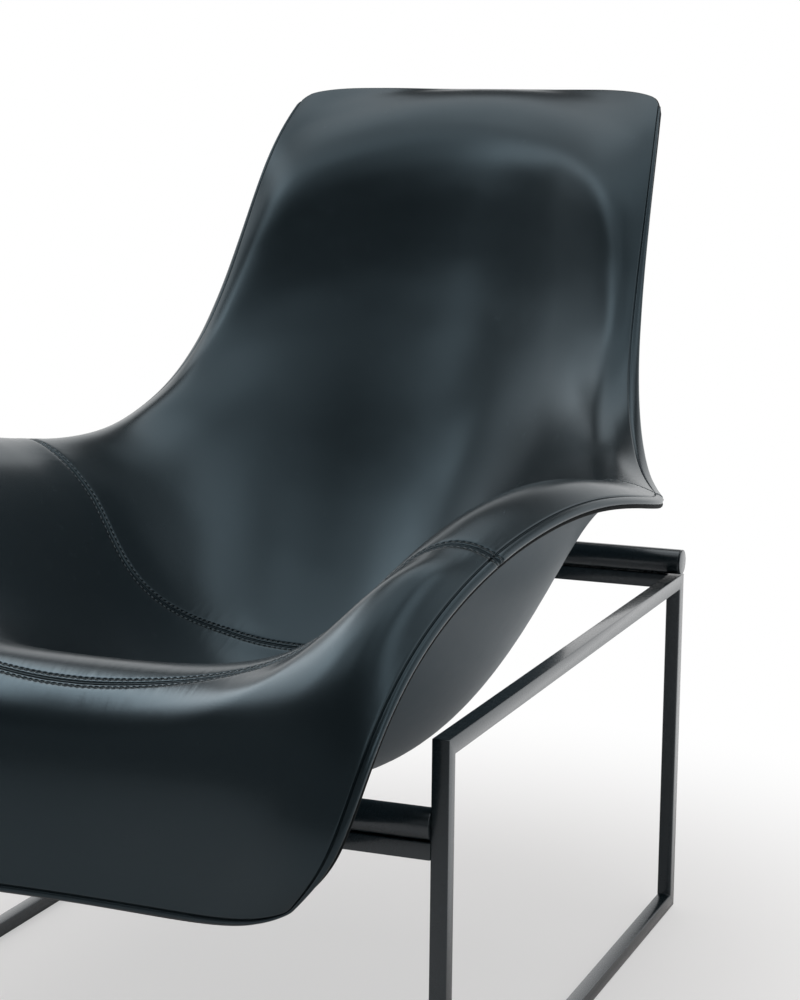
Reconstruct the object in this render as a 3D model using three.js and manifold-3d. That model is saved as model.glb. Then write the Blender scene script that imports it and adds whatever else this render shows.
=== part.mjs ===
// Reclining lounge chair: a leather-covered moulded shell that slides on two round rods,
// carried by a sled frame of square steel bar.
// Millimetres, +Z up, the sitter faces -Y, +X is to the right of someone facing the chair.
import * as THREE from 'three';
import { mergeVertices } from 'three/addons/utils/BufferGeometryUtils.js';
import Module from 'manifold-3d';

const wasm = await Module();
wasm.setup();

// Sled frame
const FRAME_WIDTH = 636;
const FRAME_DEPTH = 720;
const FRAME_HEIGHT = 370;
const BAR = 15;
const FRONT_BAR_DROP = 86;
const ROD_DIAMETER = 26.5;
const ROD_WALL = 3;
const ROD_SIDES = 24;
const CAP_THICKNESS = 2;
const CAP_PLUG_LENGTH = 12;
const GLIDE_HEIGHT = 2;
const GLIDE_LENGTH = 40;
const GLIDE_WIDTH = 11;
const GLIDE_INSET = 40;

// Layers of the shell, from the sitter's side to the outside
const LEATHER = 2.4;
const SHELL_WALL = 4.5;
const THICKNESS_MIDDLE = 30;
const THICKNESS_EDGE = 12;
const EDGE_RAMP = 1.5;
const BINDING_WALL = 3;
const BINDING_OVERLAP = 0.4;
const BINDING_CHAMFER = 1.2;

// Recline slide
const RECLINE_DEGREES = 15;
const PIVOT_RISE = 330;
const PIVOT_BACK = 0;
const RUNNER_SPACING = 300;
const RUNNER_WIDTH = 16;
const RUNNER_DEPTH = 110;
const LUG_HEIGHT = 9;
const LUG_LENGTH = 14;
const ARC_STEPS = 14;
const SCREW_DIAMETER = 6;
const SCREW_LENGTH = 45;
const SCREW_HEAD_DIAMETER = 12;
const SCREW_HEAD_HEIGHT = 4;
const SCREW_COVER = 3;
const SCREW_PLACES = [0.22, 0.78];
const SCREW_SIDES = 8;

// Clearances
const FIT_GAP = 0.3;
const SEAM_GAP = 0.8;
const BINDING_GAP = 0.75;
const STOP_GAP = 0.5;
const WELD_GAP = 0.2;

// Stations of the shell, from the top of the back over the seat to the foot of the apron.
// from: 1 measures y from the frame's rear, 0 from its middle, -1 from its front.
// centre: y and z of the middle line, z from the top of the side rails.
// flat: share of the half width over which the middle runs level.
// over: how far the edge stands past the inner face of the side frames.
// edge: y and z of the edge. roll: the way that the surface leaves the edge, inward.
const STATIONS = [
  { from: 1, centre: [270, 509], flat: 0.51, over: -82, edge: [208, 498], roll: [-29, 12, 18] }, // top roll
  { from: 1, centre: [251, 510], flat: 0.52, over: -67, edge: [140, 441], roll: [-29, -9, 13] }, // head
  { from: 1, centre: [190, 429], flat: 0.53, over: -57, edge: [69, 313], roll: [-33, -29, 22] }, // shoulder
  { from: 1, centre: [90, 271], flat: 0.56, over: -37, edge: [-22, 175], roll: [-50, -47, 43] }, // back
  { from: 1, centre: [-30, 65], flat: 0.6, over: 17, edge: [-149, 113], roll: [-89, -54, 65] }, // waist
  { from: 0, centre: [202, -115], flat: 0.64, over: 79, edge: [76, 122], roll: [-131, -54, 88] }, // arm tip
  { from: 0, centre: [50, -166], flat: 0.68, over: 58, edge: [-83, 155], roll: [-122, -42, 116] }, // arm
  { from: 0, centre: [-123, -97], flat: 0.68, over: 22, edge: [-243, 134], roll: [-102, -31, 129] }, // thigh
  { from: -1, centre: [86, 8], flat: 0.67, over: -6, edge: [-13, 74], roll: [-72, -24, 94] }, // rise
  { from: -1, centre: [-20, 53], flat: 0.65, over: -16, edge: [-89, -2], roll: [-54, -22, 53] }, // crest
  { from: -1, centre: [-74, -7], flat: 0.62, over: -32, edge: [-116, -78], roll: [-46, -17, 14] }, // apron
  { from: -1, centre: [-71, -152], flat: 0.59, over: -80, edge: [-89, -125], roll: [-36, -9, -26] }, // foot
];
const LAST_STATION = STATIONS.length - 1;

// Seams as station numbers, at equal steps from the middle line to the edge
const BACK_SEAM = [4.95, 5.08, 5.3, 5.02, 4.88, 4.67];
const FRONT_SEAM = [9.4, 9.17, 8.63, 7.98, 7.43, 7.12];

// Facets of the shell: rows in each leather panel, columns from the middle line to the edge
const BACK_ROWS = 12;
const SEAT_ROWS = 9;
const APRON_ROWS = 8;
const COLUMNS = [0, 0.16, 0.32, 0.46, 0.59, 0.71, 0.82, 0.92, 1];

// Places that follow from the sizes above
const INNER_HALF_WIDTH = FRAME_WIDTH / 2 - BAR;
const RAIL_TOP = GLIDE_HEIGHT + FRAME_HEIGHT;
const ROD_RADIUS = ROD_DIAMETER / 2;
const FRONT_BAR_TOP = RAIL_TOP - FRONT_BAR_DROP;
const FRONT_ROD = new THREE.Vector2(-FRAME_DEPTH / 2 + BAR / 2, FRONT_BAR_TOP + WELD_GAP + ROD_RADIUS);
const REAR_ROD = new THREE.Vector2(FRAME_DEPTH / 2 - BAR / 2, RAIL_TOP + WELD_GAP + ROD_RADIUS);
const PIVOT = new THREE.Vector2(PIVOT_BACK, RAIL_TOP + PIVOT_RISE);

const PAINT = { color: 0x252c30, roughness: 0.35, metalness: 0.6 };
const SMOOTH_LEATHER = { color: 0x1e2629, roughness: 0.42, metalness: 0 };
const COVER_LEATHER = { color: 0x3b4246, roughness: 0.5, metalness: 0 };
const MOULDED_NYLON = { color: 0x1a1c1e, roughness: 0.6, metalness: 0 };
const FOAM = { color: 0xd8cfae, roughness: 0.95, metalness: 0 };
const ZINC = { color: 0x9aa0a4, roughness: 0.4, metalness: 0.9 };

const SIDES = [
  { name: 'left', sign: -1 },
  { name: 'right', sign: 1 },
];

// An outline drawn in (y, z) and extruded along its third axis is turned so that it runs along +X.
const OUTLINE_TO_SIDE = new THREE.Matrix4().makeBasis(
  new THREE.Vector3(0, 1, 0),
  new THREE.Vector3(0, 0, 1),
  new THREE.Vector3(1, 0, 0),
);
const UP_AXIS = new THREE.Vector3(0, 1, 0);

function place(group, name, geometry, finish) {
  const mesh = new THREE.Mesh(geometry, new THREE.MeshStandardMaterial(finish));
  mesh.name = name;
  group.add(mesh);
  return mesh;
}

// A round piece about +Y from its profile of (radius, along) pairs
function turned(profile, sides) {
  const points = profile.map(([radius, along]) => new THREE.Vector2(radius, along));
  return new THREE.LatheGeometry(points, sides);
}

// Solids for joins and cuts

function toSolid(geometry) {
  const bare = geometry.clone();
  bare.deleteAttribute('normal');
  bare.deleteAttribute('uv');
  const merged = mergeVertices(bare, 1e-4);
  return new wasm.Manifold(new wasm.Mesh({
    numProp: 3,
    vertProperties: new Float32Array(merged.attributes.position.array),
    triVerts: new Uint32Array(merged.index.array),
  }));
}

function toGeometry(solid) {
  const mesh = solid.getMesh();
  const geometry = new THREE.BufferGeometry();
  const positions = new Float32Array(mesh.vertProperties);
  geometry.setAttribute('position', new THREE.BufferAttribute(positions, 3));
  geometry.setIndex(new THREE.BufferAttribute(new Uint32Array(mesh.triVerts), 1));
  geometry.computeVertexNormals();
  return geometry;
}

function cutAll(geometry, cutters) {
  return toGeometry(cutters.reduce((solid, cutter) => solid.subtract(cutter), toSolid(geometry)));
}

// A closed geometry from points and triangles, turned so that its faces point out
function closedGeometry(points, triangles) {
  let volume = 0;
  for (const [a, b, c] of triangles) {
    volume += points[a].dot(points[b].clone().cross(points[c]));
  }
  const facing = volume < 0 ? triangles.map(([a, b, c]) => [a, c, b]) : triangles;
  const geometry = new THREE.BufferGeometry().setFromPoints(points);
  geometry.setIndex(facing.flat());
  geometry.computeVertexNormals();
  return geometry;
}

// Frame

function sideBar(outline, sign) {
  const shape = new THREE.Shape(outline.map(([y, z]) => new THREE.Vector2(y, z)));
  const geometry = new THREE.ExtrudeGeometry(shape, { depth: BAR, bevelEnabled: false });
  geometry.applyMatrix4(OUTLINE_TO_SIDE);
  geometry.translate(sign > 0 ? INNER_HALF_WIDTH : -INNER_HALF_WIDTH - BAR, 0, 0);
  return geometry;
}

function addSideFrame(group, { name, sign }) {
  const rear = FRAME_DEPTH / 2;
  const outer = [[-rear, GLIDE_HEIGHT], [rear, GLIDE_HEIGHT], [rear, RAIL_TOP], [-rear, RAIL_TOP]];
  const inner = outer.map(([y, z], corner) => [
    y - Math.sign(y) * BAR,
    corner < 2 ? z + BAR : z - BAR,
  ]);
  ['floor_runner', 'rear_leg', 'top_rail', 'front_leg'].forEach((bar, corner) => {
    const next = (corner + 1) % outer.length;
    const outline = [outer[corner], outer[next], inner[next], inner[corner]];
    place(group, `${name}_${bar}`, sideBar(outline, sign), PAINT);
  });
  for (const [end, y] of [['front', -rear + GLIDE_INSET], ['rear', rear - GLIDE_INSET]]) {
    const glide = new THREE.BoxGeometry(GLIDE_WIDTH, GLIDE_LENGTH, GLIDE_HEIGHT);
    const mesh = place(group, `${name}_${end}_glide`, glide, MOULDED_NYLON);
    mesh.position.set(sign * (INNER_HALF_WIDTH + BAR / 2), y, GLIDE_HEIGHT / 2);
  }
}

function rodTube(length) {
  const bore = ROD_RADIUS - ROD_WALL;
  const end = length / 2;
  const profile = [[bore, -end], [ROD_RADIUS, -end], [ROD_RADIUS, end], [bore, end], [bore, -end]];
  return turned(profile, ROD_SIDES).rotateZ(-Math.PI / 2);
}

function rodCap(sign) {
  const plug = ROD_RADIUS - ROD_WALL - FIT_GAP;
  const seat = CAP_PLUG_LENGTH;
  const face = seat + CAP_THICKNESS;
  const profile = [[0, 0], [plug, 0], [plug, seat], [ROD_RADIUS, seat], [ROD_RADIUS, face], [0, face]];
  return turned(profile, ROD_SIDES).rotateZ(-sign * Math.PI / 2);
}

function addCrossPieces(group) {
  const barLength = 2 * INNER_HALF_WIDTH;
  const crossBar = () => new THREE.BoxGeometry(barLength, BAR, BAR);
  place(group, 'front_cross_bar', crossBar(), PAINT).position.set(0, FRONT_ROD.x, FRONT_BAR_TOP - BAR / 2);
  place(group, 'rear_cross_bar', crossBar(), PAINT).position.set(0, REAR_ROD.x, RAIL_TOP - BAR / 2);
  place(group, 'front_slide_rod', rodTube(barLength), PAINT).position.set(0, FRONT_ROD.x, FRONT_ROD.y);
  const rearLength = FRAME_WIDTH - 2 * CAP_THICKNESS;
  place(group, 'rear_slide_rod', rodTube(rearLength), PAINT).position.set(0, REAR_ROD.x, REAR_ROD.y);
  for (const { name, sign } of SIDES) {
    const start = sign * (rearLength / 2 - CAP_PLUG_LENGTH);
    place(group, `${name}_rod_cap`, rodCap(sign), PAINT).position.set(start, REAR_ROD.x, REAR_ROD.y);
  }
}

// Shell surface: cubic curves across, a cubic spline through the stations along

const GUIDES = [[], [], [], []];
for (const { from, centre, flat, over, edge, roll } of STATIONS) {
  const start = from * FRAME_DEPTH / 2;
  const edgePoint = new THREE.Vector3(INNER_HALF_WIDTH + over, start + edge[0], RAIL_TOP + edge[1]);
  const centrePoint = new THREE.Vector3(0, start + centre[0], RAIL_TOP + centre[1]);
  GUIDES[0].push(centrePoint);
  GUIDES[1].push(centrePoint.clone().setX(flat * edgePoint.x));
  GUIDES[2].push(edgePoint.clone().add(new THREE.Vector3(...roll)));
  GUIDES[3].push(edgePoint);
}

function weighted(points, weights) {
  const sum = new THREE.Vector3();
  points.forEach((point, i) => sum.addScaledVector(point, weights[i]));
  return sum;
}

function splineAt(points, station) {
  const i = Math.min(Math.floor(station), LAST_STATION - 1);
  const f = station - i;
  const beyond = (inner, end) => end.clone().multiplyScalar(2).sub(inner);
  const before = points[i - 1] ?? beyond(points[1], points[0]);
  const after = points[i + 2] ?? beyond(points[LAST_STATION - 1], points[LAST_STATION]);
  const weights = [
    (1 - f) ** 3,
    3 * f ** 3 - 6 * f ** 2 + 4,
    -3 * f ** 3 + 3 * f ** 2 + 3 * f + 1,
    f ** 3,
  ];
  return weighted([before, points[i], points[i + 1], after], weights.map((w) => w / 6));
}

function surfaceAt(across, station) {
  const u = Math.abs(across);
  const row = GUIDES.map((guide) => splineAt(guide, station));
  const point = weighted(row, [(1 - u) ** 3, 3 * u * (1 - u) ** 2, 3 * u * u * (1 - u), u ** 3]);
  return across < 0 ? point.setX(-point.x) : point;
}

// Unit vector from the sitter's side to the outside
function outwardAt(across, station) {
  const step = 0.004;
  const u = Math.abs(across);
  const [u0, u1] = [Math.max(u - step, 0), Math.min(u + step, 1)];
  const [s0, s1] = [Math.max(station - step, 0), Math.min(station + step, LAST_STATION)];
  const sideways = surfaceAt(u1, station).sub(surfaceAt(u0, station));
  const along = surfaceAt(u, s1).sub(surfaceAt(u, s0));
  const out = sideways.cross(along).normalize();
  if (u === 0) out.setX(0).normalize();
  return across < 0 ? out.setX(-out.x) : out;
}

function thicknessAt(across, station) {
  const fromEnd = Math.min(station, LAST_STATION - station);
  const ramp = THREE.MathUtils.smoothstep(fromEnd, 0, EDGE_RAMP);
  return THICKNESS_EDGE + (THICKNESS_MIDDLE - THICKNESS_EDGE) * (1 - Math.abs(across) ** 3) * ramp;
}

function seamAt(seam, across) {
  const curve = new THREE.SplineCurve(seam.map((station, i) => new THREE.Vector2(i, station)));
  return curve.getPoint(Math.abs(across)).y;
}

// Rows of the grid, with the seams on rows BACK_ROWS and BACK_ROWS + SEAT_ROWS
const ROWS = BACK_ROWS + SEAT_ROWS + APRON_ROWS;
const FRONT_SEAM_ROW = BACK_ROWS + SEAT_ROWS;

function stationOfRow(row, across) {
  const back = seamAt(BACK_SEAM, across);
  const front = seamAt(FRONT_SEAM, across);
  if (row <= BACK_ROWS) return back * row / BACK_ROWS;
  if (row <= FRONT_SEAM_ROW) return THREE.MathUtils.lerp(back, front, (row - BACK_ROWS) / SEAT_ROWS);
  return THREE.MathUtils.lerp(front, LAST_STATION, (row - FRONT_SEAM_ROW) / APRON_ROWS);
}

const ACROSS = [...COLUMNS.slice(1).map((u) => -u).reverse(), ...COLUMNS];
const GRID = [];
for (let row = 0; row <= ROWS; row += 1) {
  GRID.push(ACROSS.map((across) => {
    const station = stationOfRow(row, across);
    return {
      point: surfaceAt(across, station),
      out: outwardAt(across, station),
      thickness: thicknessAt(across, station),
    };
  }));
}

function sunk(node, depth) {
  return node.point.clone().addScaledVector(node.out, depth);
}

// Depths of the layers below the sitter's side, as functions of the whole thickness there
const DEPTHS = {
  leather: [() => 0, () => LEATHER],
  foam: [() => LEATHER + FIT_GAP, (whole) => whole - 2 * FIT_GAP - LEATHER - SHELL_WALL],
  shell: [(whole) => whole - FIT_GAP - LEATHER - SHELL_WALL, (whole) => whole - FIT_GAP - LEATHER],
  cover: [(whole) => whole - LEATHER, (whole) => whole],
  envelope: [() => 0, (whole) => whole + FIT_GAP],
};

// One layer between two rows; a row on a seam draws back by half the seam gap.
function layer([near, far], firstRow, lastRow) {
  const seams = [BACK_ROWS, FRONT_SEAM_ROW];
  const faces = [near, far].map((depth) => {
    const rows = [];
    for (let row = firstRow; row <= lastRow; row += 1) {
      rows.push(GRID[row].map((node) => sunk(node, depth(node.thickness))));
    }
    return rows;
  });
  for (const rows of faces) {
    const ends = [[firstRow, 0, 1], [lastRow, rows.length - 1, rows.length - 2]];
    for (const [row, end, inside] of ends) {
      if (!seams.includes(row) || lastRow - firstRow === ROWS) continue;
      rows[end].forEach((point, column) => {
        const toward = rows[inside][column].clone().sub(point).setLength(SEAM_GAP / 2);
        point.add(toward);
      });
    }
  }
  return boxOfGrids(faces);
}

function boxOfGrids(faces) {
  const [height, width] = [faces[0].length, faces[0][0].length];
  const points = faces.flat(2);
  const at = (face, row, column) => (face * height + row) * width + column;
  const triangles = [];
  const quad = (a, b, c, d) => triangles.push([a, b, c], [a, c, d]);
  for (let r = 0; r < height - 1; r += 1) {
    for (let c = 0; c < width - 1; c += 1) {
      // Facets split alike on both sides of the middle line.
      const turn = c < (width - 1) / 2 ? 1 : 0;
      for (const face of [0, 1]) {
        const corners = [at(face, r, c), at(face, r, c + 1), at(face, r + 1, c + 1), at(face, r + 1, c)];
        if (turn) corners.push(corners.shift());
        if (face) corners.push(...corners.splice(1).reverse());
        quad(...corners);
      }
    }
  }
  for (let r = 0; r < height - 1; r += 1) {
    quad(at(0, r, 0), at(0, r + 1, 0), at(1, r + 1, 0), at(1, r, 0));
    quad(at(0, r, width - 1), at(1, r, width - 1), at(1, r + 1, width - 1), at(0, r + 1, width - 1));
  }
  for (let c = 0; c < width - 1; c += 1) {
    quad(at(0, 0, c), at(1, 0, c), at(1, 0, c + 1), at(0, 0, c + 1));
    quad(at(0, height - 1, c), at(0, height - 1, c + 1), at(1, height - 1, c + 1), at(1, height - 1, c));
  }
  return closedGeometry(points, triangles);
}

// Binding round the whole edge: a strip that closes the layers' ends
function bindingGeometry() {
  const lastColumn = ACROSS.length - 1;
  const loop = [];
  for (let row = 0; row < ROWS; row += 1) loop.push(GRID[row][lastColumn]);
  for (let column = lastColumn; column > 0; column -= 1) loop.push(GRID[ROWS][column]);
  for (let row = ROWS; row > 0; row -= 1) loop.push(GRID[row][0]);
  for (let column = 0; column < lastColumn; column += 1) loop.push(GRID[0][column]);
  const reach = BINDING_GAP + BINDING_WALL;
  const section = (whole) => [
    [BINDING_GAP, -BINDING_OVERLAP],
    [reach - BINDING_CHAMFER, -BINDING_OVERLAP],
    [reach, BINDING_CHAMFER],
    [reach, whole - BINDING_CHAMFER],
    [reach - BINDING_CHAMFER, whole + BINDING_OVERLAP],
    [BINDING_GAP, whole + BINDING_OVERLAP],
    [BINDING_GAP, whole * 2 / 3],
    [BINDING_GAP, whole / 3],
  ];
  const points = [];
  const triangles = [];
  loop.forEach((node, i) => {
    const ahead = loop[(i + 1) % loop.length].point;
    const behind = loop[(i + loop.length - 1) % loop.length].point;
    const toAhead = ahead.clone().sub(node.point).normalize();
    const toBehind = node.point.clone().sub(behind).normalize();
    const beside = toAhead.add(toBehind).cross(node.out).normalize();
    const ring = section(node.thickness);
    const next = (i + 1) % loop.length;
    ring.forEach(([aside, depth], k) => {
      const k1 = (k + 1) % ring.length;
      points.push(sunk(node, depth).addScaledVector(beside, aside));
      triangles.push(
        [i * ring.length + k, next * ring.length + k, next * ring.length + k1],
        [i * ring.length + k, next * ring.length + k1, i * ring.length + k1],
      );
    });
  });
  return closedGeometry(points, triangles);
}

// Slide runners: webs under the shell whose lower edges turn about the recline axis on the rods

function runnerTrack(rod) {
  const arm = rod.clone().sub(PIVOT);
  const axisRadius = arm.length();
  const rest = Math.atan2(arm.y, arm.x);
  const halfRod = Math.asin((ROD_RADIUS + STOP_GAP) / axisRadius);
  const radius = axisRadius - ROD_RADIUS - FIT_GAP;
  return {
    radius,
    first: rest - halfRod,
    last: rest + THREE.MathUtils.degToRad(RECLINE_DEGREES) + halfRod,
    lugAngle: LUG_LENGTH / radius,
  };
}

function arcPoints(radius, from, to, steps) {
  const points = [];
  for (let i = 0; i <= steps; i += 1) {
    const angle = from + (to - from) * i / steps;
    points.push(new THREE.Vector2(PIVOT.x + radius * Math.cos(angle), PIVOT.y + radius * Math.sin(angle)));
  }
  return points;
}

function farthestPiece(solid) {
  const reach = (piece) => {
    const { vertProperties } = piece.getMesh();
    let most = 0;
    for (let i = 0; i < vertProperties.length; i += 3) {
      most = Math.max(most, Math.hypot(vertProperties[i + 1] - PIVOT.x, vertProperties[i + 2] - PIVOT.y));
    }
    return most;
  };
  return solid.decompose().reduce((best, piece) => (reach(piece) > reach(best) ? piece : best));
}

function runnerSolid(track, centreX, envelope) {
  const { radius, first, last, lugAngle } = track;
  const outline = [
    ...arcPoints(radius + LUG_HEIGHT, first - lugAngle, first, 1),
    ...arcPoints(radius, first, last, ARC_STEPS),
    ...arcPoints(radius + LUG_HEIGHT, last, last + lugAngle, 1),
    ...arcPoints(radius - RUNNER_DEPTH, last + lugAngle, first - lugAngle, ARC_STEPS),
  ];
  const shape = new THREE.Shape(outline);
  const web = new THREE.ExtrudeGeometry(shape, { depth: RUNNER_WIDTH, bevelEnabled: false });
  web.applyMatrix4(OUTLINE_TO_SIDE);
  web.translate(centreX - RUNNER_WIDTH / 2, 0, 0);
  return farthestPiece(toSolid(web).subtract(envelope));
}

// Screws from inside the shell into the runners, along lines through the recline axis

function aimed(geometry, origin, direction, distance) {
  geometry.applyQuaternion(new THREE.Quaternion().setFromUnitVectors(UP_AXIS, direction));
  return geometry.translate(...origin.clone().addScaledVector(direction, distance).toArray());
}

function plannedScrew(track, share, centreX, shellMesh) {
  const angle = THREE.MathUtils.lerp(track.first, track.last, share);
  const origin = new THREE.Vector3(centreX, PIVOT.x, PIVOT.y);
  const direction = new THREE.Vector3(0, Math.cos(angle), Math.sin(angle));
  const [hit] = new THREE.Raycaster(origin, direction).intersectObject(shellMesh);
  const tilt = Math.acos(Math.min(1, Math.abs(hit.face.normal.dot(direction))));
  const underHead = hit.distance - FIT_GAP - SCREW_HEAD_DIAMETER / 2 * Math.tan(tilt);
  const shank = Math.min(SCREW_LENGTH, track.radius - SCREW_COVER - underHead);
  return { origin, direction, underHead, shank };
}

function screwGeometry({ origin, direction, underHead, shank }) {
  const [head, thread] = [SCREW_HEAD_DIAMETER / 2, SCREW_DIAMETER / 2];
  const top = -SCREW_HEAD_HEIGHT;
  const profile = [[0, top], [head, top], [head, 0], [thread, 0], [thread, shank], [0, shank]];
  return aimed(turned(profile, SCREW_SIDES), origin, direction, underHead);
}

function screwHoles({ origin, direction, underHead, shank }) {
  const bore = (radius, from, to) => {
    const pin = new THREE.CylinderGeometry(radius, radius, to - from, SCREW_SIDES);
    return toSolid(aimed(pin, origin, direction, underHead + (from + to) / 2));
  };
  return {
    shank: bore(SCREW_DIAMETER / 2 + FIT_GAP, -SCREW_HEAD_HEIGHT, shank + FIT_GAP),
    pocket: bore(SCREW_HEAD_DIAMETER / 2 + 2 * FIT_GAP, -SCREW_HEAD_HEIGHT - FIT_GAP, SCREW_LENGTH),
  };
}

function addShell(group) {
  const shellGeometry = layer(DEPTHS.shell, 0, ROWS);
  const shellMesh = new THREE.Mesh(shellGeometry);
  const envelope = toSolid(layer(DEPTHS.envelope, 0, ROWS));
  const holes = [];
  for (const [end, rod] of [['front', FRONT_ROD], ['rear', REAR_ROD]]) {
    const track = runnerTrack(rod);
    for (const { name, sign } of SIDES) {
      const centreX = sign * RUNNER_SPACING / 2;
      const screws = SCREW_PLACES.map((share) => plannedScrew(track, share, centreX, shellMesh));
      const cuts = screws.map(screwHoles);
      const blank = runnerSolid(track, centreX, envelope);
      const web = cuts.reduce((solid, cut) => solid.subtract(cut.shank), blank);
      place(group, `${name}_${end}_runner`, toGeometry(web), MOULDED_NYLON);
      screws.forEach((screw, i) => {
        place(group, `${name}_${end}_runner_screw_${i + 1}`, screwGeometry(screw), ZINC);
      });
      holes.push(...cuts);
    }
  }
  const shanks = holes.map((hole) => hole.shank);
  const pockets = holes.map((hole) => hole.pocket);
  place(group, 'back_leather', layer(DEPTHS.leather, 0, BACK_ROWS), SMOOTH_LEATHER);
  place(group, 'seat_leather', layer(DEPTHS.leather, BACK_ROWS, FRONT_SEAM_ROW), SMOOTH_LEATHER);
  place(group, 'apron_leather', layer(DEPTHS.leather, FRONT_SEAM_ROW, ROWS), SMOOTH_LEATHER);
  place(group, 'back_foam', cutAll(layer(DEPTHS.foam, 0, BACK_ROWS), pockets), FOAM);
  place(group, 'seat_foam', cutAll(layer(DEPTHS.foam, BACK_ROWS, ROWS), pockets), FOAM);
  place(group, 'moulded_shell', cutAll(shellGeometry, shanks), MOULDED_NYLON);
  place(group, 'outer_cover', cutAll(layer(DEPTHS.cover, 0, ROWS), shanks), COVER_LEATHER);
  place(group, 'edge_binding', bindingGeometry(), SMOOTH_LEATHER);
}

const baseFrame = new THREE.Group();
SIDES.forEach((side) => addSideFrame(baseFrame, side));
addCrossPieces(baseFrame);

const seatShell = new THREE.Group();
addShell(seatShell);

const chair = new THREE.Group();
chair.name = 'reclining_lounge_chair';
chair.add(baseFrame, seatShell);

// The origin lies on the floor under the middle of the whole chair.
const extent = new THREE.Box3().setFromObject(chair);
chair.position.y = -extent.getCenter(new THREE.Vector3()).y;

export default chair;
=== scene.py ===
"""Looks of a reclining lounge chair: sewn leather on a moulded shell, on a sled frame of square bar."""

import logging
import math
from dataclasses import dataclass, field
from enum import Enum
from typing import Callable, Sequence

import bpy
import numpy as np
from mathutils import Matrix, Vector, noise


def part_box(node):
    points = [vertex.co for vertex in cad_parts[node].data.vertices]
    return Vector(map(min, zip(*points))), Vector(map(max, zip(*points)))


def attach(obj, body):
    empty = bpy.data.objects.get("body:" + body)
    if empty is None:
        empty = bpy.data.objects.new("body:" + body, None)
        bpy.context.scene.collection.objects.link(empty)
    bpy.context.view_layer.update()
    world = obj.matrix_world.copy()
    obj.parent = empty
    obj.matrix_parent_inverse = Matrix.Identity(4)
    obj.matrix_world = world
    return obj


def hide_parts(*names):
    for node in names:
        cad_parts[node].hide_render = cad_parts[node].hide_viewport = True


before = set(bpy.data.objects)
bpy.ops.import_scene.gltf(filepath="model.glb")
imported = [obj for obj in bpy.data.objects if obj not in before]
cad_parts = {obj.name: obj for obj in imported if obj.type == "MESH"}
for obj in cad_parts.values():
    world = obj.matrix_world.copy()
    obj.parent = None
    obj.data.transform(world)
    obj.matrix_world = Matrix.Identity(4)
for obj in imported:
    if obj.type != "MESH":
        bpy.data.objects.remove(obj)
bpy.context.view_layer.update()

LOG = logging.getLogger("lounge_chair")
MM = 0.001
SHELL_BODY = "seat_shell"
FRAME_BODY = "base_frame"
EDGE_FACETS = 3
EDGE_ANGLE = math.radians(40.0)
MERGE_DISTANCE = 0.02 * MM
FLAT_ANGLE = math.radians(1.0)

Colour = tuple[float, float, float]
RowLine = Callable[[np.ndarray], np.ndarray]


class Origin(Enum):
    """The part of the side frame that a station of the shell is measured from."""

    REAR = 1
    MIDDLE = 0
    FRONT = -1


class PanelEnd(Enum):
    """What the first or the last row of a sheet is."""

    TOP = "rolled over the top of the back"
    SEAM = "sewn to the next panel"
    FOOT = "bound at the foot of the apron"


# Handling of pieces


def deselect() -> None:
    """Leaves nothing selected, so that the next operator acts on its own piece alone."""
    bpy.ops.object.select_all(action="DESELECT")


def pick(piece: bpy.types.Object) -> None:
    """Makes one piece the selected and active one."""
    deselect()
    piece.select_set(True)
    bpy.context.view_layer.objects.active = piece


def named(name: str) -> bpy.types.Object:
    """Names the active object and its mesh, and returns it."""
    piece = bpy.context.object
    piece.name = name
    piece.data.name = name
    return piece


def apply_modifiers(piece: bpy.types.Object) -> None:
    """Applies every modifier of a piece, in order."""
    pick(piece)
    for name in [modifier.name for modifier in piece.modifiers]:
        bpy.ops.object.modifier_apply(modifier=name)


def settle(piece: bpy.types.Object) -> None:
    """Puts a piece's place, turn and scale into its mesh."""
    pick(piece)
    bpy.ops.object.transform_apply(location=True, rotation=True, scale=True)


def soften_edges(piece: bpy.types.Object, radius: float) -> None:
    """Rounds the edges of a piece to a radius in metres, and shades the rest smooth."""
    bevel = piece.modifiers.new("rounded edges", "BEVEL")
    bevel.width = radius
    bevel.segments = EDGE_FACETS
    bevel.limit_method = "ANGLE"
    bevel.angle_limit = EDGE_ANGLE
    bevel.harden_normals = False
    apply_modifiers(piece)
    bpy.ops.object.shade_smooth_by_angle(angle=EDGE_ANGLE)


def dress(piece: bpy.types.Object, finish: "Finish") -> None:
    """Gives a piece one material."""
    piece.data.materials.clear()
    piece.data.materials.append(finish.material())


def copy_of_node(node: str, name: str) -> bpy.types.Object:
    """Copies a construction node into a piece of its own, with its doubles merged.

    Args:
        node: name of the construction node.
        name: name of the new piece.

    Returns:
        The new piece, with flat areas dissolved into single faces.
    """
    pick(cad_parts[node])
    bpy.ops.object.duplicate()
    piece = named(name)
    piece.parent = None
    for key in [key for key in piece.keys() if key.startswith("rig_")]:
        del piece[key]
    bpy.ops.object.mode_set(mode="EDIT")
    bpy.ops.mesh.select_all(action="SELECT")
    bpy.ops.mesh.remove_doubles(threshold=MERGE_DISTANCE)
    bpy.ops.mesh.dissolve_limited(angle_limit=FLAT_ANGLE)
    bpy.ops.object.mode_set(mode="OBJECT")
    return piece


# Finishes


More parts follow.
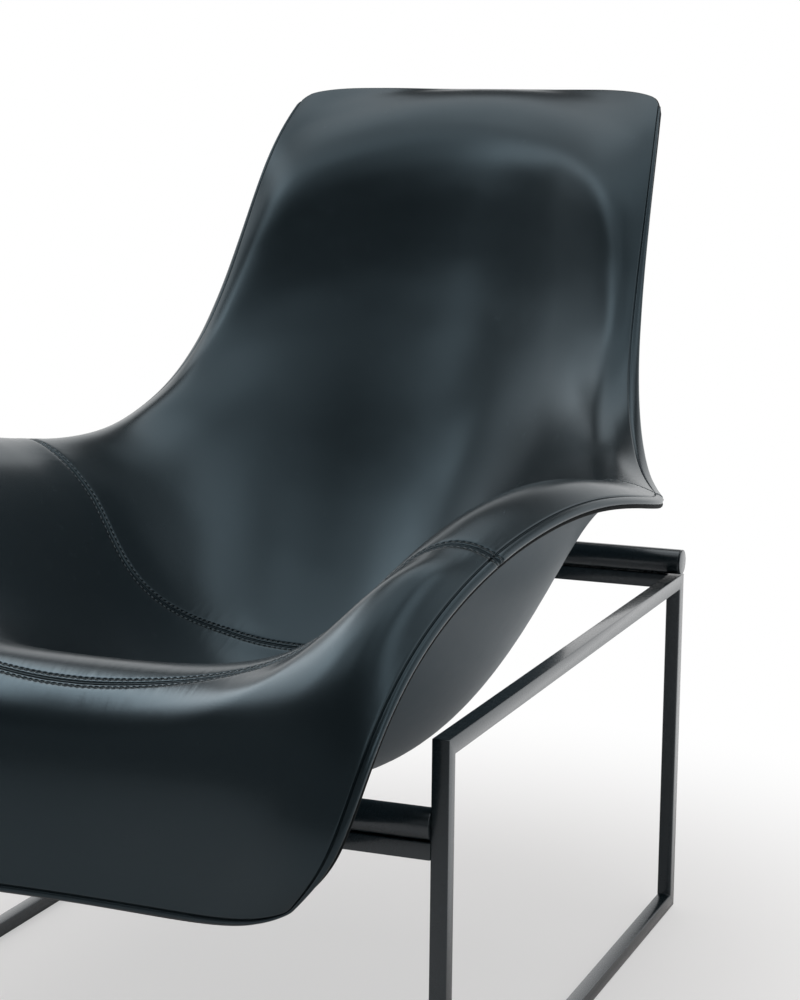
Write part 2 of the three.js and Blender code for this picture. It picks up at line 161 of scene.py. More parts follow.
class NodeSheet:
    """Adds nodes to one tree and links them."""

    def __init__(self, tree: bpy.types.NodeTree) -> None:
        """Keeps the tree."""
        self.tree = tree

    def add(self, kind: str, **settings: object) -> bpy.types.Node:
        """Adds a node and sets its properties.

        Args:
            kind: the node's type name.
            settings: properties of the node, by name.

        Returns:
            The new node.
        """
        node = self.tree.nodes.new(kind)
        for key, value in settings.items():
            setattr(node, key, value)
        return node

    def link(self, start: bpy.types.NodeSocket, end: bpy.types.NodeSocket) -> None:
        """Links two sockets."""
        self.tree.links.new(start, end)

    def maths(self, operation: str, first: object, second: object) -> bpy.types.NodeSocket:
        """Adds a Math node on two inputs, each a socket or a number.

        Args:
            operation: the Math node's operation.
            first: first input.
            second: second input.

        Returns:
            The node's output socket.
        """
        node = self.add("ShaderNodeMath", operation=operation)
        for socket, value in zip(node.inputs, (first, second)):
            if isinstance(value, bpy.types.NodeSocket):
                self.link(value, socket)
            else:
                socket.default_value = value
        return node.outputs[0]

    def spread(self, value: bpy.types.NodeSocket, low: float, high: float) -> bpy.types.NodeSocket:
        """Maps a value from 0 to 1 onto a range, and returns the result's socket."""
        node = self.add("ShaderNodeMapRange")
        self.link(value, node.inputs["Value"])
        node.inputs["To Min"].default_value = low
        node.inputs["To Max"].default_value = high
        return node.outputs["Result"]

    def soft_step(self, value: bpy.types.NodeSocket, low: float, high: float) -> bpy.types.NodeSocket:
        """Maps a value to a soft step, 0 up to low and 1 from high on, and returns the result's socket."""
        node = self.add("ShaderNodeMapRange", interpolation_type="SMOOTHSTEP")
        self.link(value, node.inputs["Value"])
        node.inputs["From Min"].default_value = low
        node.inputs["From Max"].default_value = high
        return node.outputs["Result"]

    def part(self, vector: bpy.types.NodeSocket, axis: str) -> bpy.types.NodeSocket:
        """Returns the socket of a vector's X, Y or Z."""
        node = self.add("ShaderNodeSeparateXYZ")
        self.link(vector, node.inputs["Vector"])
        return node.outputs[axis]

    def blend(self, mask: bpy.types.NodeSocket, first: Colour, second: Colour) -> bpy.types.NodeSocket:
        """Mixes two colours by a mask, and returns the colour's socket."""
        node = self.add("ShaderNodeMix", data_type="RGBA")
        self.link(mask, node.inputs["Factor"])
        node.inputs["A"].default_value = (*first, 1.0)
        node.inputs["B"].default_value = (*second, 1.0)
        return node.outputs["Result"]


def new_group(name: str, rate: tuple[str, float],
              outputs: Sequence[str]) -> tuple[NodeSheet, bpy.types.Node, bpy.types.Node]:
    """Makes a shader node group with named sockets.

    Args:
        name: the group's name.
        rate: name and default of the number that goes in after the vector.
        outputs: names of the values that come out.

    Returns:
        The new group's nodes, its input node and its output node.
    """
    group = bpy.data.node_groups.new(name, "ShaderNodeTree")
    group.interface.new_socket("Vector", in_out="INPUT", socket_type="NodeSocketVector")
    number = group.interface.new_socket(rate[0], in_out="INPUT", socket_type="NodeSocketFloat")
    number.default_value = rate[1]
    for title in outputs:
        group.interface.new_socket(title, in_out="OUTPUT", socket_type="NodeSocketFloat")
    return NodeSheet(group), group.nodes.new("NodeGroupInput"), group.nodes.new("NodeGroupOutput")


CELL_SMOOTHNESS = 0.35
WOBBLE_RATE = 0.6
WOBBLE_FLOOR = 0.4
PORE_RATE = 1.7
PORE_SHARE = 0.35


def grain_group() -> bpy.types.NodeTree:
    """Returns the group for pebbled grain: cells with soft crowns, fine pores and stretched creases."""
    name = "pebbled grain"
    if name in bpy.data.node_groups:
        return bpy.data.node_groups[name]
    sheet, start, end = new_group(name, ("Cells per metre", 600.0), ("Height", "Pores"))
    wobble = sheet.add("ShaderNodeTexNoise")
    sheet.link(start.outputs["Vector"], wobble.inputs["Vector"])
    rate = start.outputs["Cells per metre"]
    sheet.link(sheet.maths("MULTIPLY", rate, WOBBLE_RATE), wobble.inputs["Scale"])
    cells = sheet.add("ShaderNodeTexVoronoi", feature="SMOOTH_F1")
    cells.inputs["Smoothness"].default_value = CELL_SMOOTHNESS
    sheet.link(start.outputs["Vector"], cells.inputs["Vector"])
    sheet.link(rate, cells.inputs["Scale"])
    pores = sheet.add("ShaderNodeTexNoise")
    pores.inputs["Detail"].default_value = 3.0
    sheet.link(start.outputs["Vector"], pores.inputs["Vector"])
    sheet.link(sheet.maths("MULTIPLY", rate, PORE_RATE), pores.inputs["Scale"])
    crown = sheet.maths("SUBTRACT", 1.0, cells.outputs["Distance"])
    pebbles = sheet.maths("MULTIPLY", crown, sheet.maths("ADD", wobble.outputs["Fac"], WOBBLE_FLOOR))
    height = sheet.maths("ADD", pebbles, sheet.maths("MULTIPLY", pores.outputs["Fac"], PORE_SHARE))
    sheet.link(height, end.inputs["Height"])
    sheet.link(pores.outputs["Fac"], end.inputs["Pores"])
    return sheet.tree


def tone_group() -> bpy.types.NodeTree:
    """Returns the group for slow unevenness of a surface: wide clouds with a finer mottle in them."""
    name = "uneven tone"
    if name in bpy.data.node_groups:
        return bpy.data.node_groups[name]
    sheet, start, end = new_group(name, ("Patches per metre", 6.0), ("Clouds", "Mottle"))
    for title, factor, detail in (("Clouds", 1.0, 3.0), ("Mottle", 11.0, 5.0)):
        texture = sheet.add("ShaderNodeTexNoise")
        texture.inputs["Detail"].default_value = detail
        sheet.link(start.outputs["Vector"], texture.inputs["Vector"])
        rate = sheet.maths("MULTIPLY", start.outputs["Patches per metre"], factor)
        sheet.link(rate, texture.inputs["Scale"])
        sheet.link(texture.outputs["Fac"], end.inputs[title])
    return sheet.tree


SEAM_MAPS = ("seam before", "seam after")
STITCH_PITCH = 5.6 * MM
STITCH_ROW = 4.2 * MM
HOLE_LENGTH = 1.4 * MM
HOLE_WIDTH = 1.2 * MM
CREASE_FADE = 26 * MM
CREASE_STRETCH = 0.16


def seam_group() -> bpy.types.NodeTree:
    """Returns the group for sewn leather: a hole between two stitches, and creases that run off the seam."""
    name = "sewn edge"
    if name in bpy.data.node_groups:
        return bpy.data.node_groups[name]
    sheet, start, end = new_group(name, ("Creases per metre", 190.0), ("Holes", "Creases"))
    rate = start.outputs["Creases per metre"]
    along, away = sheet.part(start.outputs["Vector"], "X"), sheet.part(start.outputs["Vector"], "Y")
    stitch = sheet.maths("FRACT", sheet.maths("DIVIDE", along, STITCH_PITCH), 0.0)
    turn = sheet.maths("SUBTRACT", stitch, 0.5)
    to_hole = sheet.maths("SUBTRACT", 0.5, sheet.maths("ABSOLUTE", turn, 0.0))
    lengthwise = sheet.maths("DIVIDE", sheet.maths("MULTIPLY", to_hole, STITCH_PITCH), HOLE_LENGTH)
    sideways = sheet.maths("DIVIDE", sheet.maths("SUBTRACT", away, STITCH_ROW), HOLE_WIDTH)
    square = sheet.maths("ADD", sheet.maths("POWER", lengthwise, 2.0),
                         sheet.maths("MULTIPLY", sideways, sideways))
    sheet.link(sheet.maths("EXPONENT", sheet.maths("MULTIPLY", square, -1.0), 0.0), end.inputs["Holes"])
    stretched = sheet.add("ShaderNodeCombineXYZ")
    slow = sheet.maths("MULTIPLY", rate, CREASE_STRETCH)
    sheet.link(sheet.maths("MULTIPLY", along, rate), stretched.inputs["X"])
    sheet.link(sheet.maths("MULTIPLY", away, slow), stretched.inputs["Y"])
    wrinkles = sheet.add("ShaderNodeTexNoise")
    wrinkles.inputs["Scale"].default_value = 1.0
    wrinkles.inputs["Detail"].default_value = 2.0
    sheet.link(stretched.outputs["Vector"], wrinkles.inputs["Vector"])
    fade = sheet.maths("EXPONENT", sheet.maths("DIVIDE", away, -CREASE_FADE), 0.0)
    sheet.link(sheet.maths("MULTIPLY", wrinkles.outputs["Fac"], fade), end.inputs["Creases"])
    return sheet.tree


def place_group(sheet: NodeSheet, group: bpy.types.NodeTree, rate: float) -> bpy.types.Node:
    """Places a group on Object coordinates and sets its rate.

    Args:
        sheet: the material's nodes.
        group: the group to place.
        rate: value of the group's second input.

    Returns:
        The group's node.
    """
    node = sheet.add("ShaderNodeGroup", node_tree=group)
    node.inputs[1].default_value = rate
    coordinates = sheet.add("ShaderNodeTexCoord")
    sheet.link(coordinates.outputs["Object"], node.inputs["Vector"])
    return node


MOTTLE_RANGE = (0.6, 1.4)
PORE_SHINE = 0.5


@dataclass(frozen=True)
class Finish:
    """A procedural finish: two tones, a roughness range and a fine relief."""

    name: str
    deep: Colour
    pale: Colour
    roughness: tuple[float, float]
    cells_per_metre: float
    relief: float
    relief_strength: float = 0.4
    patches_per_metre: float = 6.0
    metallic: float = 0.0
    coat: float = 0.0
    coat_roughness: float = 0.2
    specular: float = 0.5
    specular_tint: Colour = (1.0, 1.0, 1.0)
    sewn: bool = False
    hole_depth: float = 0.9 * MM
    crease_depth: float = 0.35 * MM

    def seam_relief(self, sheet: NodeSheet) -> bpy.types.NodeSocket:
        """Height of the stitch holes and creases beside the seams, in metres below the plain face.

        Args:
            sheet: the material's nodes.

        Returns:
            The height's socket.
        """
        total: object = 0.0
        for title in SEAM_MAPS:
            node = sheet.add("ShaderNodeGroup", node_tree=seam_group())
            places = sheet.add("ShaderNodeUVMap", uv_map=title)
            sheet.link(places.outputs["UV"], node.inputs["Vector"])
            drop = sheet.maths("ADD", sheet.maths("MULTIPLY", node.outputs["Holes"], self.hole_depth),
                               sheet.maths("MULTIPLY", node.outputs["Creases"], self.crease_depth))
            total = sheet.maths("SUBTRACT", total, drop)
        return total

    def material(self) -> bpy.types.Material:
        """Returns the finish's material, made on first use."""
        if self.name in bpy.data.materials:
            return bpy.data.materials[self.name]
        material = bpy.data.materials.new(self.name)
        material.use_nodes = True
        sheet = NodeSheet(material.node_tree)
        surface = material.node_tree.nodes["Principled BSDF"]
        tone = place_group(sheet, tone_group(), self.patches_per_metre)
        grain = place_group(sheet, grain_group(), self.cells_per_metre)
        mottle = sheet.spread(tone.outputs["Mottle"], *MOTTLE_RANGE)
        mask = sheet.maths("MULTIPLY", tone.outputs["Clouds"], mottle)
        sheet.link(sheet.blend(mask, self.deep, self.pale), surface.inputs["Base Color"])
        shine = sheet.maths("ADD", sheet.maths("MULTIPLY", tone.outputs["Mottle"], 1 - PORE_SHINE),
                            sheet.maths("MULTIPLY", grain.outputs["Pores"], PORE_SHINE))
        sheet.link(sheet.spread(shine, *self.roughness), surface.inputs["Roughness"])
        bump = sheet.add("ShaderNodeBump")
        bump.inputs["Strength"].default_value = self.relief_strength
        bump.inputs["Distance"].default_value = self.relief
        sheet.link(grain.outputs["Height"], bump.inputs["Height"])
        if self.sewn:
            seams = sheet.add("ShaderNodeBump")
            seams.inputs["Distance"].default_value = 1.0
            sheet.link(self.seam_relief(sheet), seams.inputs["Height"])
            sheet.link(seams.outputs["Normal"], bump.inputs["Normal"])
        sheet.link(bump.outputs["Normal"], surface.inputs["Normal"])
        surface.inputs["Metallic"].default_value = self.metallic
        surface.inputs["Coat Weight"].default_value = self.coat
        surface.inputs["Coat Roughness"].default_value = self.coat_roughness
        surface.inputs["Specular IOR Level"].default_value = self.specular
        surface.inputs["Specular Tint"].default_value = (*self.specular_tint, 1.0)
        return material


COOL = (0.59, 0.83, 0.98)
PALE_COOL = (0.78, 0.90, 1.0)
SEAT_LEATHER = Finish("seat leather", (0.0036, 0.0066, 0.0082), (0.0066, 0.0108, 0.0128), (0.2, 0.31),
                      480.0, 0.12 * MM, relief_strength=0.16, specular=0.75, specular_tint=COOL, sewn=True)
# The cover is the seat's leather with a base colour several times paler: the paleness is painted reflection
# of the pale floor on the shell's underside.
COVER_LEATHER_PAINTED_REFLECTION = Finish("cover leather with painted reflection", (0.030, 0.052, 0.067), (0.040, 0.067, 0.086), (0.36, 0.48),
                       720.0, 0.12 * MM, specular_tint=COOL)
WELT_LEATHER = Finish("welt leather", (0.006, 0.010, 0.012), (0.010, 0.015, 0.018), (0.30, 0.42),
                      900.0, 0.15 * MM, specular_tint=COOL)
EDGE_LEATHER = Finish("edge leather", (0.004, 0.006, 0.007), (0.007, 0.009, 0.010), (0.62, 0.78),
                      900.0, 0.15 * MM, specular=0.12)
THREAD = Finish("waxed thread", (0.040, 0.052, 0.058), (0.075, 0.090, 0.097), (0.45, 0.6), 2500.0, 0.1 * MM)
FRAME_PAINT = Finish("frame paint", (0.0065, 0.0115, 0.0140), (0.0085, 0.0140, 0.0165), (0.22, 0.32),
                     1500.0, 0.03 * MM, relief_strength=0.15, patches_per_metre=4.0, specular=0.75,
                     coat=0.5, coat_roughness=0.12, specular_tint=PALE_COOL)
NYLON = Finish("black nylon", (0.009, 0.010, 0.011), (0.014, 0.015, 0.016), (0.45, 0.6), 1800.0, 0.08 * MM)
ZINC = Finish("zinc plating", (0.50, 0.52, 0.54), (0.62, 0.64, 0.65), (0.28, 0.42), 1200.0, 0.03 * MM,
              metallic=1.0)


# Shell


def ease(share: np.ndarray) -> np.ndarray:
    """A smooth rise from 0 at a share of 0 to 1 at a share of 1."""
    held = np.clip(share, 0, 1)
    return held * held * (3 - 2 * held)


def cubic(ends: tuple[np.ndarray, np.ndarray], slopes: tuple[np.ndarray, np.ndarray],
          share: np.ndarray) -> np.ndarray:
    """A cubic between two values.

    Args:
        ends: the values at a share of 0 and of 1.
        slopes: the slopes there, per whole share.
        share: places between the two.

    Returns:
        The values at those places.
    """
    start, end = ends
    out, into = slopes
    bend = (2 * start - 2 * end + out + into) * share**3 + (-3 * start + 3 * end - 2 * out - into) * share**2
    return bend + out * share + start


@dataclass(frozen=True)
class Station:
    """One cross-section of the shell, in millimetres from the side frames.

    It runs level from the middle line to a share of the half width, flat, and leaves the edge along roll.
    The edge stands past the inner face of the side frames by over.
    """

    origin: Origin
    centre: tuple[float, float]
    flat: float
    over: float
    edge: tuple[float, float]
    roll: tuple[float, float, float]


STATIONS = (
    Station(Origin.REAR, (270, 509), 0.51, -82, (208, 498), (-29, 12, 18)),
    Station(Origin.REAR, (251, 510), 0.52, -67, (140, 441), (-29, -9, 13)),
    Station(Origin.REAR, (190, 429), 0.53, -57, (69, 313), (-33, -29, 22)),
    Station(Origin.REAR, (90, 271), 0.56, -37, (-22, 175), (-50, -47, 43)),
    Station(Origin.REAR, (-30, 65), 0.6, 17, (-149, 113), (-89, -54, 65)),
    Station(Origin.MIDDLE, (202, -115), 0.64, 79, (76, 122), (-131, -54, 88)),
    Station(Origin.MIDDLE, (50, -166), 0.68, 58, (-83, 155), (-122, -42, 116)),
    Station(Origin.MIDDLE, (-123, -97), 0.68, 22, (-243, 134), (-102, -31, 129)),
    Station(Origin.FRONT, (86, 8), 0.67, -6, (-13, 74), (-72, -24, 94)),
    Station(Origin.FRONT, (-20, 53), 0.65, -16, (-89, -2), (-54, -22, 53)),
    Station(Origin.FRONT, (-74, -7), 0.62, -32, (-116, -78), (-46, -17, 14)),
    Station(Origin.FRONT, (-71, -152), 0.59, -80, (-89, -125), (-36, -9, -26)),
)
BACK_SEAM = (4.98, 5.13, 5.38, 5.1, 4.93, 4.69)
FRONT_SEAM = (9.4, 9.17, 8.63, 7.98, 7.43, 7.12)


@dataclass
class ShellSurface:
    """The sitter's side of the shell: cubic curves across, a cubic spline through the stations along."""

    stations: Sequence[Station] = STATIONS
    thickness_middle: float = 30 * MM
    thickness_edge: float = 12 * MM
    edge_ramp: float = 1.5
    guides: np.ndarray = field(init=False)

    def __post_init__(self) -> None:
        """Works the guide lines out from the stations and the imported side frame."""
        low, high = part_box("right_top_rail")
        middle, half = (low.y + high.y) / 2, (high.y - low.y) / 2
        lines: list[list[np.ndarray]] = [[], [], [], []]
        for station in self.stations:
            start = middle + station.origin.value * half
            edge, centre = (np.array([x, start + place[0] * MM, high.z + place[1] * MM]) for x, place in
                            ((low.x + station.over * MM, station.edge), (0.0, station.centre)))
            inner = np.array([station.flat * edge[0], centre[1], centre[2]])
            for line, point in zip(lines, (centre, inner, edge + np.array(station.roll) * MM, edge)):
                line.append(point)
        points = np.array(lines)
        before = 2 * points[:, :1] - points[:, 1:2]
        after = 2 * points[:, -1:] - points[:, -2:-1]
        self.guides = np.concatenate([before, points, after], axis=1)

    @property
    def last(self) -> int:
        """Number of the last station."""
        return len(self.stations) - 1

    def point(self, across: np.ndarray, station: np.ndarray) -> np.ndarray:
        """Points of the surface.

        Args:
            across: place across, from -1 at the left edge to 1 at the right edge.
            station: place along, as a station number.

        Returns:
            The points, in metres.
        """
        u = np.abs(across)
        index = np.clip(np.floor(station).astype(int), 0, self.last - 1)
        f = (station - index)[..., None]
        along = ((1 - f) ** 3, 3 * f**3 - 6 * f**2 + 4, -3 * f**3 + 3 * f**2 + 3 * f + 1, f**3)
        sideways = ((1 - u) ** 3, 3 * u * (1 - u) ** 2, 3 * u * u * (1 - u), u**3)
        points = np.zeros((*np.shape(u), 3))
        for guide, share in zip(self.guides, sideways):
            points += share[..., None] * sum(weight * guide[index + k] for k, weight in enumerate(along)) / 6
        points[..., 0] *= np.where(across < 0, -1, 1)
        return points

    def outward(self, across: np.ndarray, station: np.ndarray) -> np.ndarray:
        """Unit vectors from the sitter's side to the outside, at places given as for point."""
        step = 0.004
        u = np.abs(across)
        left, right = np.maximum(u - step, 0), np.minimum(u + step, 1)
        above, below = np.maximum(station - step, 0), np.minimum(station + step, self.last)
        sideways = self.point(right, station) - self.point(left, station)
        along = self.point(u, below) - self.point(u, above)
        out = np.cross(sideways, along)
        out[..., 0] *= np.where(u == 0, 0, np.where(across < 0, -1, 1))
        return out / np.linalg.norm(out, axis=-1, keepdims=True)

    def thickness(self, across: np.ndarray, station: np.ndarray) -> np.ndarray:
        """Whole thickness of the shell with its foam and covers, at places given as for point."""
        ramp = ease(np.minimum(station, self.last - station) / self.edge_ramp)
        extra = self.thickness_middle - self.thickness_edge
        return self.thickness_edge + extra * (1 - np.abs(across) ** 3) * ramp

    def seam(self, values: Sequence[float]) -> RowLine:
        """A smooth line through station numbers at equal steps from the middle line to the edge.

        Args:
            values: the station numbers.

        Returns:
            A function from places across to station numbers.
        """
        table = np.array([values[1], *values, values[-1]])

        def line(across: np.ndarray) -> np.ndarray:
            """Station numbers of the seam at places across."""
            place = np.abs(across) * (len(values) - 1)
            index = np.minimum(np.floor(place).astype(int), len(values) - 2)
            before, start, end, after = (table[index + k] for k in range(4))
            return cubic((start, end), ((end - before) / 2, (after - start) / 2), place - index)

        return line

    def level(self, station: float) -> RowLine:
        """A line that keeps to one station, as a function of the place across."""
        return lambda across: np.full(np.shape(across), float(station))

    def rounded_top(self, share: float = 0.13, drop: float = 0.2) -> RowLine:
        """The top line of the back, dipping at its corners.

        Args:
            share: part of the half width that dips.
            drop: how far the ends dip, in stations.

        Returns:
            A function from places across to station numbers.
        """
        return lambda across: drop * np.clip((np.abs(across) - 1 + share) / share, 0, 1) ** 2.6


def graded(length: np.ndarray, near: np.ndarray, far: np.ndarray, steps: int) -> np.ndarray:
    """Places along lines, close together at both ends and even between them.

    Args:
        length: length of each line.
        near: distances from the start, for each line.
        far: distances from the end, for each line, least first.
        steps: even steps between the two.

    Returns:
        The places, along the first axis.
    """
    start, end = near[-1], length - far[-1]
    between = [start + (end - start) * k / steps for k in range(1, steps)]
    return np.array([*near, *between, *(length - far[::-1])])


def run_along(points: np.ndarray) -> np.ndarray:
    """Distances along rows of points, down the first axis, from 0."""
    lengths = np.linalg.norm(np.diff(points, axis=0), axis=-1)
    return np.concatenate([np.zeros((1, *lengths.shape[1:])), np.cumsum(lengths, axis=0)])


NO_SEAM = 1.0
SEAM_STEPS = np.array([0, 0.35, 0.8, 1.4, 2.1, 3.0, 3.6, 4.2, 4.8, 5.6, 7.0, 9.0, 11.5, 15.0,
                       20.0, 26.0]) * MM
STITCH_STEP = 7
CURL_STEPS = np.array([0, 0.3, 0.7, 1.2, 1.9, 2.8, 4.0, 6.0, 9.0, 13.0, 18.0]) * MM
BAND_SHARES = np.array([0, 0.03, 0.07, 0.12, 0.19, 0.28, 0.40, 0.55, 0.70, 0.81, 0.88, 0.93, 0.97, 1.0,
                        1.03, 1.07, 1.12, 1.19, 1.30, 1.5, 1.8, 2.3])
BAND_STATIONS = (0.0, 0.6, 3.0, 4.7, 6.0, 9.0, 11.0)
BAND_WIDTHS = np.array([11.0, 14.0, 15.0, 11.0, 10.0, 9.0, 7.0]) * MM
FOOT_BAND = 7.0 * MM


@dataclass
class ShellSheet:
    """A sheet of the upholstery, laid over the shell's surface from one line to another.

    Its rows and columns crowd together at its ends and edges, where it folds.
    """

    name: str
    surface: ShellSurface
    first: RowLine
    last: RowLine
    ends: tuple[PanelEnd, PanelEnd]
    middle_rows: int
    half_columns: int = 104
    faces_sitter: bool = True
    across: np.ndarray = field(init=False)
    station: np.ndarray = field(init=False)
    from_edge: np.ndarray = field(init=False)
    from_ends: tuple[np.ndarray, np.ndarray] = field(init=False)
    beside: np.ndarray = field(init=False)
    band: np.ndarray = field(init=False)

    samples: int = 181

    def end_steps(self, end: PanelEnd) -> np.ndarray:
        """Distances of the crowded rows from one end of the sheet."""
        if end is PanelEnd.SEAM:
            return SEAM_STEPS
        return CURL_STEPS if end is PanelEnd.TOP else BAND_SHARES * FOOT_BAND

    def lay_out(self) -> None:
        """Places the sheet's rows and columns on the surface and measures them from its ends and edges."""
        dense = np.linspace(0, 1, self.samples)
        share = np.linspace(0, 1, self.samples)[:, None]
        stations = self.first(dense) + (self.last(dense) - self.first(dense)) * share
        run = run_along(self.surface.point(np.broadcast_to(dense, stations.shape), stations))
        near, far = (np.repeat(self.end_steps(end)[:, None], self.samples, axis=1) for end in self.ends)
        places = graded(run[-1], near, far, self.middle_rows)
        lines = np.array([np.interp(places[:, k], run[:, k], stations[:, k]) for k in range(self.samples)]).T
        rows = []
        for line, place in zip(lines, places):
            length = run_along(self.surface.point(dense, line))
            band = np.interp(line[-1], BAND_STATIONS, BAND_WIDTHS)
            columns = graded(length[-1], np.zeros(1), BAND_SHARES * band, self.half_columns)
            u = np.interp(columns, length, dense)
            u[-1] = 1.0
            rows.append([u, np.interp(u, dense, line), length[-1] - columns, np.interp(u, dense, place),
                         np.interp(u, dense, run[-1] - place), columns, np.full(len(u), band)])
        right = np.array(rows).transpose(1, 0, 2)
        left = right[:, :, :0:-1].copy()
        left[0] *= -1
        left[5] *= -1
        whole = np.concatenate([left, right], axis=2)
        self.across, self.station, self.from_edge, first, last, self.beside, self.band = whole
        self.from_ends = (first, last)

    def free_distance(self) -> np.ndarray:
        """Distance from the nearest free end or edge of the sheet."""
        nearest = self.from_edge
        for end, distance in zip(self.ends, self.from_ends):
            if end is not PanelEnd.SEAM:
                nearest = np.minimum(nearest, distance)
        return nearest

    def depth(self) -> np.ndarray:
        """Depth of the sheet's outer face below the sitter's side, in metres."""
        raise NotImplementedError

    def wall(self) -> np.ndarray:
        """Thickness of the sheet, in metres."""
        raise NotImplementedError

    def faces(self) -> np.ndarray:
        """Points of the sheet's outer face."""
        points = self.surface.point(self.across, self.station)
        return points + self.surface.outward(self.across, self.station) * self.depth()[..., None]

    def coordinates(self, points: np.ndarray) -> dict[str, np.ndarray]:
        """Coordinates for the finish, by name, at the points of the sheet's outer face."""
        return {}

    def build(self) -> bpy.types.Object:
        """Models the sheet: a grid drawn over the surface, then given its thickness.

        Returns:
            The finished piece.
        """
        self.lay_out()
        points = self.faces()
        rows, columns = self.across.shape
        deselect()
        bpy.ops.mesh.primitive_grid_add(x_subdivisions=columns - 1, y_subdivisions=rows - 1, size=2.0,
                                        calc_uvs=False)
        piece = named(self.name)
        flat = np.zeros(len(piece.data.vertices) * 3)
        piece.data.vertices.foreach_get("co", flat)
        column = np.rint((flat[0::3] + 1) / 2 * (columns - 1)).astype(int)
        row = np.rint((flat[1::3] + 1) / 2 * (rows - 1)).astype(int)
        if self.faces_sitter:
            row = rows - 1 - row
        piece.data.vertices.foreach_set("co", points[row, column].ravel())
        corners = np.zeros(len(piece.data.loops), dtype=int)
        piece.data.loops.foreach_get("vertex_index", corners)
        for title, places in self.coordinates(points).items():
            layer = piece.data.uv_layers.new(name=title)
            layer.data.foreach_set("uv", places[row, column][corners].ravel())
        wall = self.wall()
        thickest = float(wall.max())
        weights = piece.vertex_groups.new(name="wall")
        for index, weight in enumerate(wall[row, column] / thickest):
            weights.add([index], float(weight), "REPLACE")
        solidify = piece.modifiers.new("thickness", "SOLIDIFY")
        solidify.thickness = thickest
        solidify.offset = -1.0
        solidify.vertex_group = "wall"
        apply_modifiers(piece)
        piece.vertex_groups.clear()
        bpy.ops.object.shade_smooth()
        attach(piece, SHELL_BODY)
        return piece


@dataclass(frozen=True)
class Swell:
    """A flat-topped rise of the padding, or a hollow where rise is less than 0, the same on both sides."""

    station: float
    across: float
    reach: tuple[float, float]
    rise: float

    def height(self, across: np.ndarray, station: np.ndarray) -> np.ndarray:
        """Height of the swell, at places given as for the surface."""
        along = (station - self.station) / self.reach[0]
        sideways = (np.abs(across) - self.across) / self.reach[1]
        return self.rise * np.exp(-(along**4) - sideways**2)


@dataclass(frozen=True)
class Profile:
    """A smooth line through a few heights, given in millimetres at places in rising order."""

    places: tuple[float, ...]
    heights: tuple[float, ...]

    def height(self, place: np.ndarray) -> np.ndarray:
        """Height of the line in metres, held beyond its first and last place."""
        places = np.array(self.places)
        heights = np.array(self.heights) * MM
        slopes = np.gradient(heights, places)
        held = np.clip(place, places[0], places[-1])
        index = np.clip(np.searchsorted(places, held, side="right") - 1, 0, len(places) - 2)
        step = places[index + 1] - places[index]
        ends = (heights[index], heights[index + 1])
        return cubic(ends, (slopes[index] * step, slopes[index + 1] * step), (held - places[index]) / step)


BACK_LINE = Profile(
    (0.1, 0.3, 0.6, 0.8, 1.0, 1.2, 1.42, 1.68, 1.88, 2.17,
     2.47, 2.75, 3.0, 3.5, 4.0, 4.4, 4.8, 5.4, 6.2, 7.5, 8.5),
    (0, 0, 1.5, 3, 6, 9.5, 13, 15.5, 14, 7.5,
     -0.5, -6.5, -8.5, -7, -4, 4, 10.5, 12, 7, 0, 0))
BACK_REACH = 0.8
ACROSS_LINE = Profile((-0.2, 0, 0.2, 0.4, 0.66, 0.85, 1.0), (3.6, 5, 3.6, -1, -5, -2, 0))
ACROSS_SPAN = (1.4, 2.3, 3.0, 4.5)
UPPER_HOLLOWS = Swell(1.4, 0.78, (0.9, 0.2), -2.0 * MM)
SHOULDERS = Swell(3.2, 0.8, (0.5, 0.2), 2.0 * MM)
PADDING = (UPPER_HOLLOWS, SHOULDERS)


def back_profile(across: np.ndarray, station: np.ndarray) -> np.ndarray:
    """Height of the back's padding: a roll at the head, a hollow under it, a flat middle."""
    sideways = np.abs(across)
    start, full, last, end = ACROSS_SPAN
    span = ease((station - start) / (full - start)) * ease((end - station) / (end - last))
    along = BACK_LINE.height(station) * np.exp(-((sideways / BACK_REACH) ** 8))
    return along + ACROSS_LINE.height(sideways) * span


def padding_height(across: np.ndarray, station: np.ndarray) -> np.ndarray:
    """Height of the padding over the plain surface: the back's profile and the swells."""
    return back_profile(across, station) + sum(swell.height(across, station) for swell in PADDING)


def quarter_round(distance: np.ndarray, radius: float) -> np.ndarray:
    """Drop of a rounded border below a flat face, at distances from the border."""
    share = 1 - np.clip(distance / radius, 0, 1)
    return radius * (1 - np.sqrt(np.clip(1 - share * share, 0, 1)))


def soft_least(first: np.ndarray, second: np.ndarray, softness: float) -> np.ndarray:
    """The lesser of two values, with the corner between them rounded."""
    rest = np.clip(softness - np.abs(first - second), 0, None) / softness
    return np.minimum(first, second) - rest * rest * softness / 4


